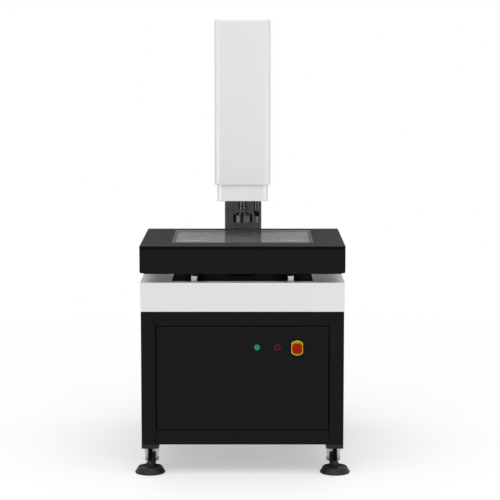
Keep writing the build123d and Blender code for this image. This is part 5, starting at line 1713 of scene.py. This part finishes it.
@dataclass
class Studio:
    """Pale floor, plain soft light and the camera at the photograph's angle."""

    eye: Vec = (0.026, -6.471, 1.525)
    pitch: float = 7.01
    lens: float = 127.66
    sensor: float = 36.0
    floor_radius: float = 9.0
    floor_fade: float = 3.2
    floor_glow: float = 0.45
    floor_clear: float = 0.55
    floor_tones: tuple[float, float] = (0.66, 0.7)
    floor_grid: tuple[int, int] = (8, 64)
    clip: tuple[float, float] = (0.1, 100.0)
    ambient: float = 0.68
    lamp_place: Vec = (0.0, -2.2, 4.2)
    lamp_target: Vec = (0.0, 0.0, 0.7)
    lamp_size: tuple[float, float] = (3.6, 3.6)
    lamp_power: float = 48.0
    screen_span: tuple[float, float] = (0.25, 0.95)
    screen_plan: tuple[tuple[str, tuple[float, float], tuple[float, float], float], ...] = (
        ("front_screen", (-1.5, -5.0), (0.55, -5.0), 0.25),
        ("left_bright_screen", (-2.5, -3.5), (-4.0, -1.1), 4.6),
        ("right_bright_screen", (0.8, -4.6), (4.4, 0.3), 2.6),
        ("left_dim_screen", (-4.0, 0.1), (-4.0, 3.6), 0.25),
        ("right_dim_screen", (4.0, 0.5), (4.0, 3.6), 0.25),
    )

    def build(self) -> None:
        """Set up the floor, the world, the lamp, the screens and the camera."""
        scene = bpy.context.scene
        scene.view_settings.view_transform = "Standard"
        self.floor()
        self.world()
        self.lamp()
        self.screens()
        data = bpy.data.cameras.new("camera")
        data.lens = self.lens
        data.sensor_width = self.sensor
        data.clip_start, data.clip_end = self.clip
        view = bpy.data.objects.new("camera", data)
        view.location = self.eye
        view.rotation_euler = (math.radians(90 - self.pitch), 0, 0)
        scene.collection.objects.link(view)
        scene.camera = view

    def floor(self) -> None:
        """Build a pale round floor that takes the shadow and turns white with distance."""
        rings = np.linspace(0, self.floor_radius, self.floor_grid[0])[:, None]
        angle = ring(self.floor_grid[1])[None, :]
        flat = np.stack([rings * np.cos(angle), rings * np.sin(angle), np.zeros(self.floor_grid)], -1)
        shape = Shape()
        shape.surface(flat)
        mesh = bpy.data.meshes.new("floor")
        mesh.from_pydata(np.concatenate(shape.points).tolist(), [], shape.faces)
        plate = bpy.data.objects.new("floor", mesh)
        bpy.context.scene.collection.objects.link(plate)
        mesh.materials.append(self.floor_material())

    def floor_material(self) -> bpy.types.Material:
        """Return the floor's material: pale paint that gives way to white away from the machine."""
        material = bpy.data.materials.new("pale_floor")
        material.use_nodes = True
        wire = Wiring(material.node_tree)
        shader = material.node_tree.nodes["Principled BSDF"]
        shader.inputs["Roughness"].default_value = 0.8
        shader.inputs["Specular IOR Level"].default_value = 0.1
        place = wire.add("TexCoord").outputs["Object"]
        noise = wire.add("TexNoise", {"Vector": place, "Scale": 3.0, "Detail": 3.0}).outputs["Fac"]
        dark, light = ((tone, tone, tone, 1.0) for tone in self.floor_tones)
        tone = wire.blend(noise, dark, light)
        wire.tree.links.new(tone, shader.inputs["Base Color"])
        shader.inputs["Emission Color"].default_value = (1.0, 1.0, 1.0, 1.0)
        shader.inputs["Emission Strength"].default_value = self.floor_glow
        distance = wire.add("VectorMath", {0: place}, operation="LENGTH").outputs["Value"]
        kept = wire.spread(distance, self.floor_clear, self.floor_fade, 1.0, 0.0)
        wire.tree.links.new(kept, shader.inputs["Alpha"])
        return material

    def world(self) -> None:
        """Light the scene evenly, and show white to the camera, in gloss and through glass."""
        world = bpy.data.worlds.new("studio")
        bpy.context.scene.world = world
        world.use_nodes = True
        wire = Wiring(world.node_tree)
        ground = world.node_tree.nodes["Background"]
        path = wire.add("LightPath")
        seen = wire.maths("MAXIMUM", path.outputs["Is Camera Ray"], path.outputs["Is Glossy Ray"])
        seen = wire.maths("MAXIMUM", seen, path.outputs["Is Transmission Ray"])
        strength = wire.add("Mix", {0: seen, 2: self.ambient, 3: 1.0}).outputs[0]
        wire.tree.links.new(strength, ground.inputs["Strength"])
        ground.inputs["Color"].default_value = (1.0, 1.0, 1.0, 1.0)

    def lamp(self) -> None:
        """Hang a large soft lamp over the front."""
        data = bpy.data.lights.new("top_lamp", "AREA")
        data.shape = "RECTANGLE"
        data.size, data.size_y = self.lamp_size
        data.energy = self.lamp_power
        lamp = bpy.data.objects.new("top_lamp", data)
        aim = np.array(self.lamp_target) - np.array(self.lamp_place)
        tilt = math.atan2(float(np.hypot(aim[0], aim[1])), -aim[2])
        lamp.location = self.lamp_place
        lamp.rotation_euler = (tilt, 0, math.atan2(-aim[0], aim[1]))
        bpy.context.scene.collection.objects.link(lamp)

    def screens(self) -> None:
        """Stand bright and dim screens round the machine, which only reflections show."""
        low, high = self.screen_span
        for name, first, last, glow in self.screen_plan:
            material = bpy.data.materials.new(name)
            material.use_nodes = True
            material.cycles.emission_sampling = "NONE"
            shader = material.node_tree.nodes["Principled BSDF"]
            shader.inputs["Base Color"].default_value = (0.0, 0.0, 0.0, 1.0)
            shader.inputs["Specular IOR Level"].default_value = 0.0
            shader.inputs["Emission Color"].default_value = (1.0, 1.0, 1.0, 1.0)
            shader.inputs["Emission Strength"].default_value = glow
            mesh = bpy.data.meshes.new(name)
            points = [(*first, low), (*last, low), (*last, high), (*first, high)]
            mesh.from_pydata(points, [], [(0, 1, 2, 3)])
            mesh.materials.append(material)
            screen = bpy.data.objects.new(name, mesh)
            screen.visible_camera = screen.visible_diffuse = screen.visible_shadow = False
            screen.visible_transmission = screen.visible_volume_scatter = False
            bpy.context.scene.collection.objects.link(screen)


def main() -> None:
    """Build the machine's sub-assemblies in order, then the studio."""
    logging.basicConfig(level=logging.INFO, format="%(name)s: %(message)s")
    machine = (Cabinet(), Feet(), Casters(), GraniteBase(), CrossTable(), Tower(), MeasuringHead(), Door())
    for assembly in machine:
        LOG.info("building %s", type(assembly).__name__)
        assembly.build()
    Studio().build()


if __name__ == "__main__":
    main()
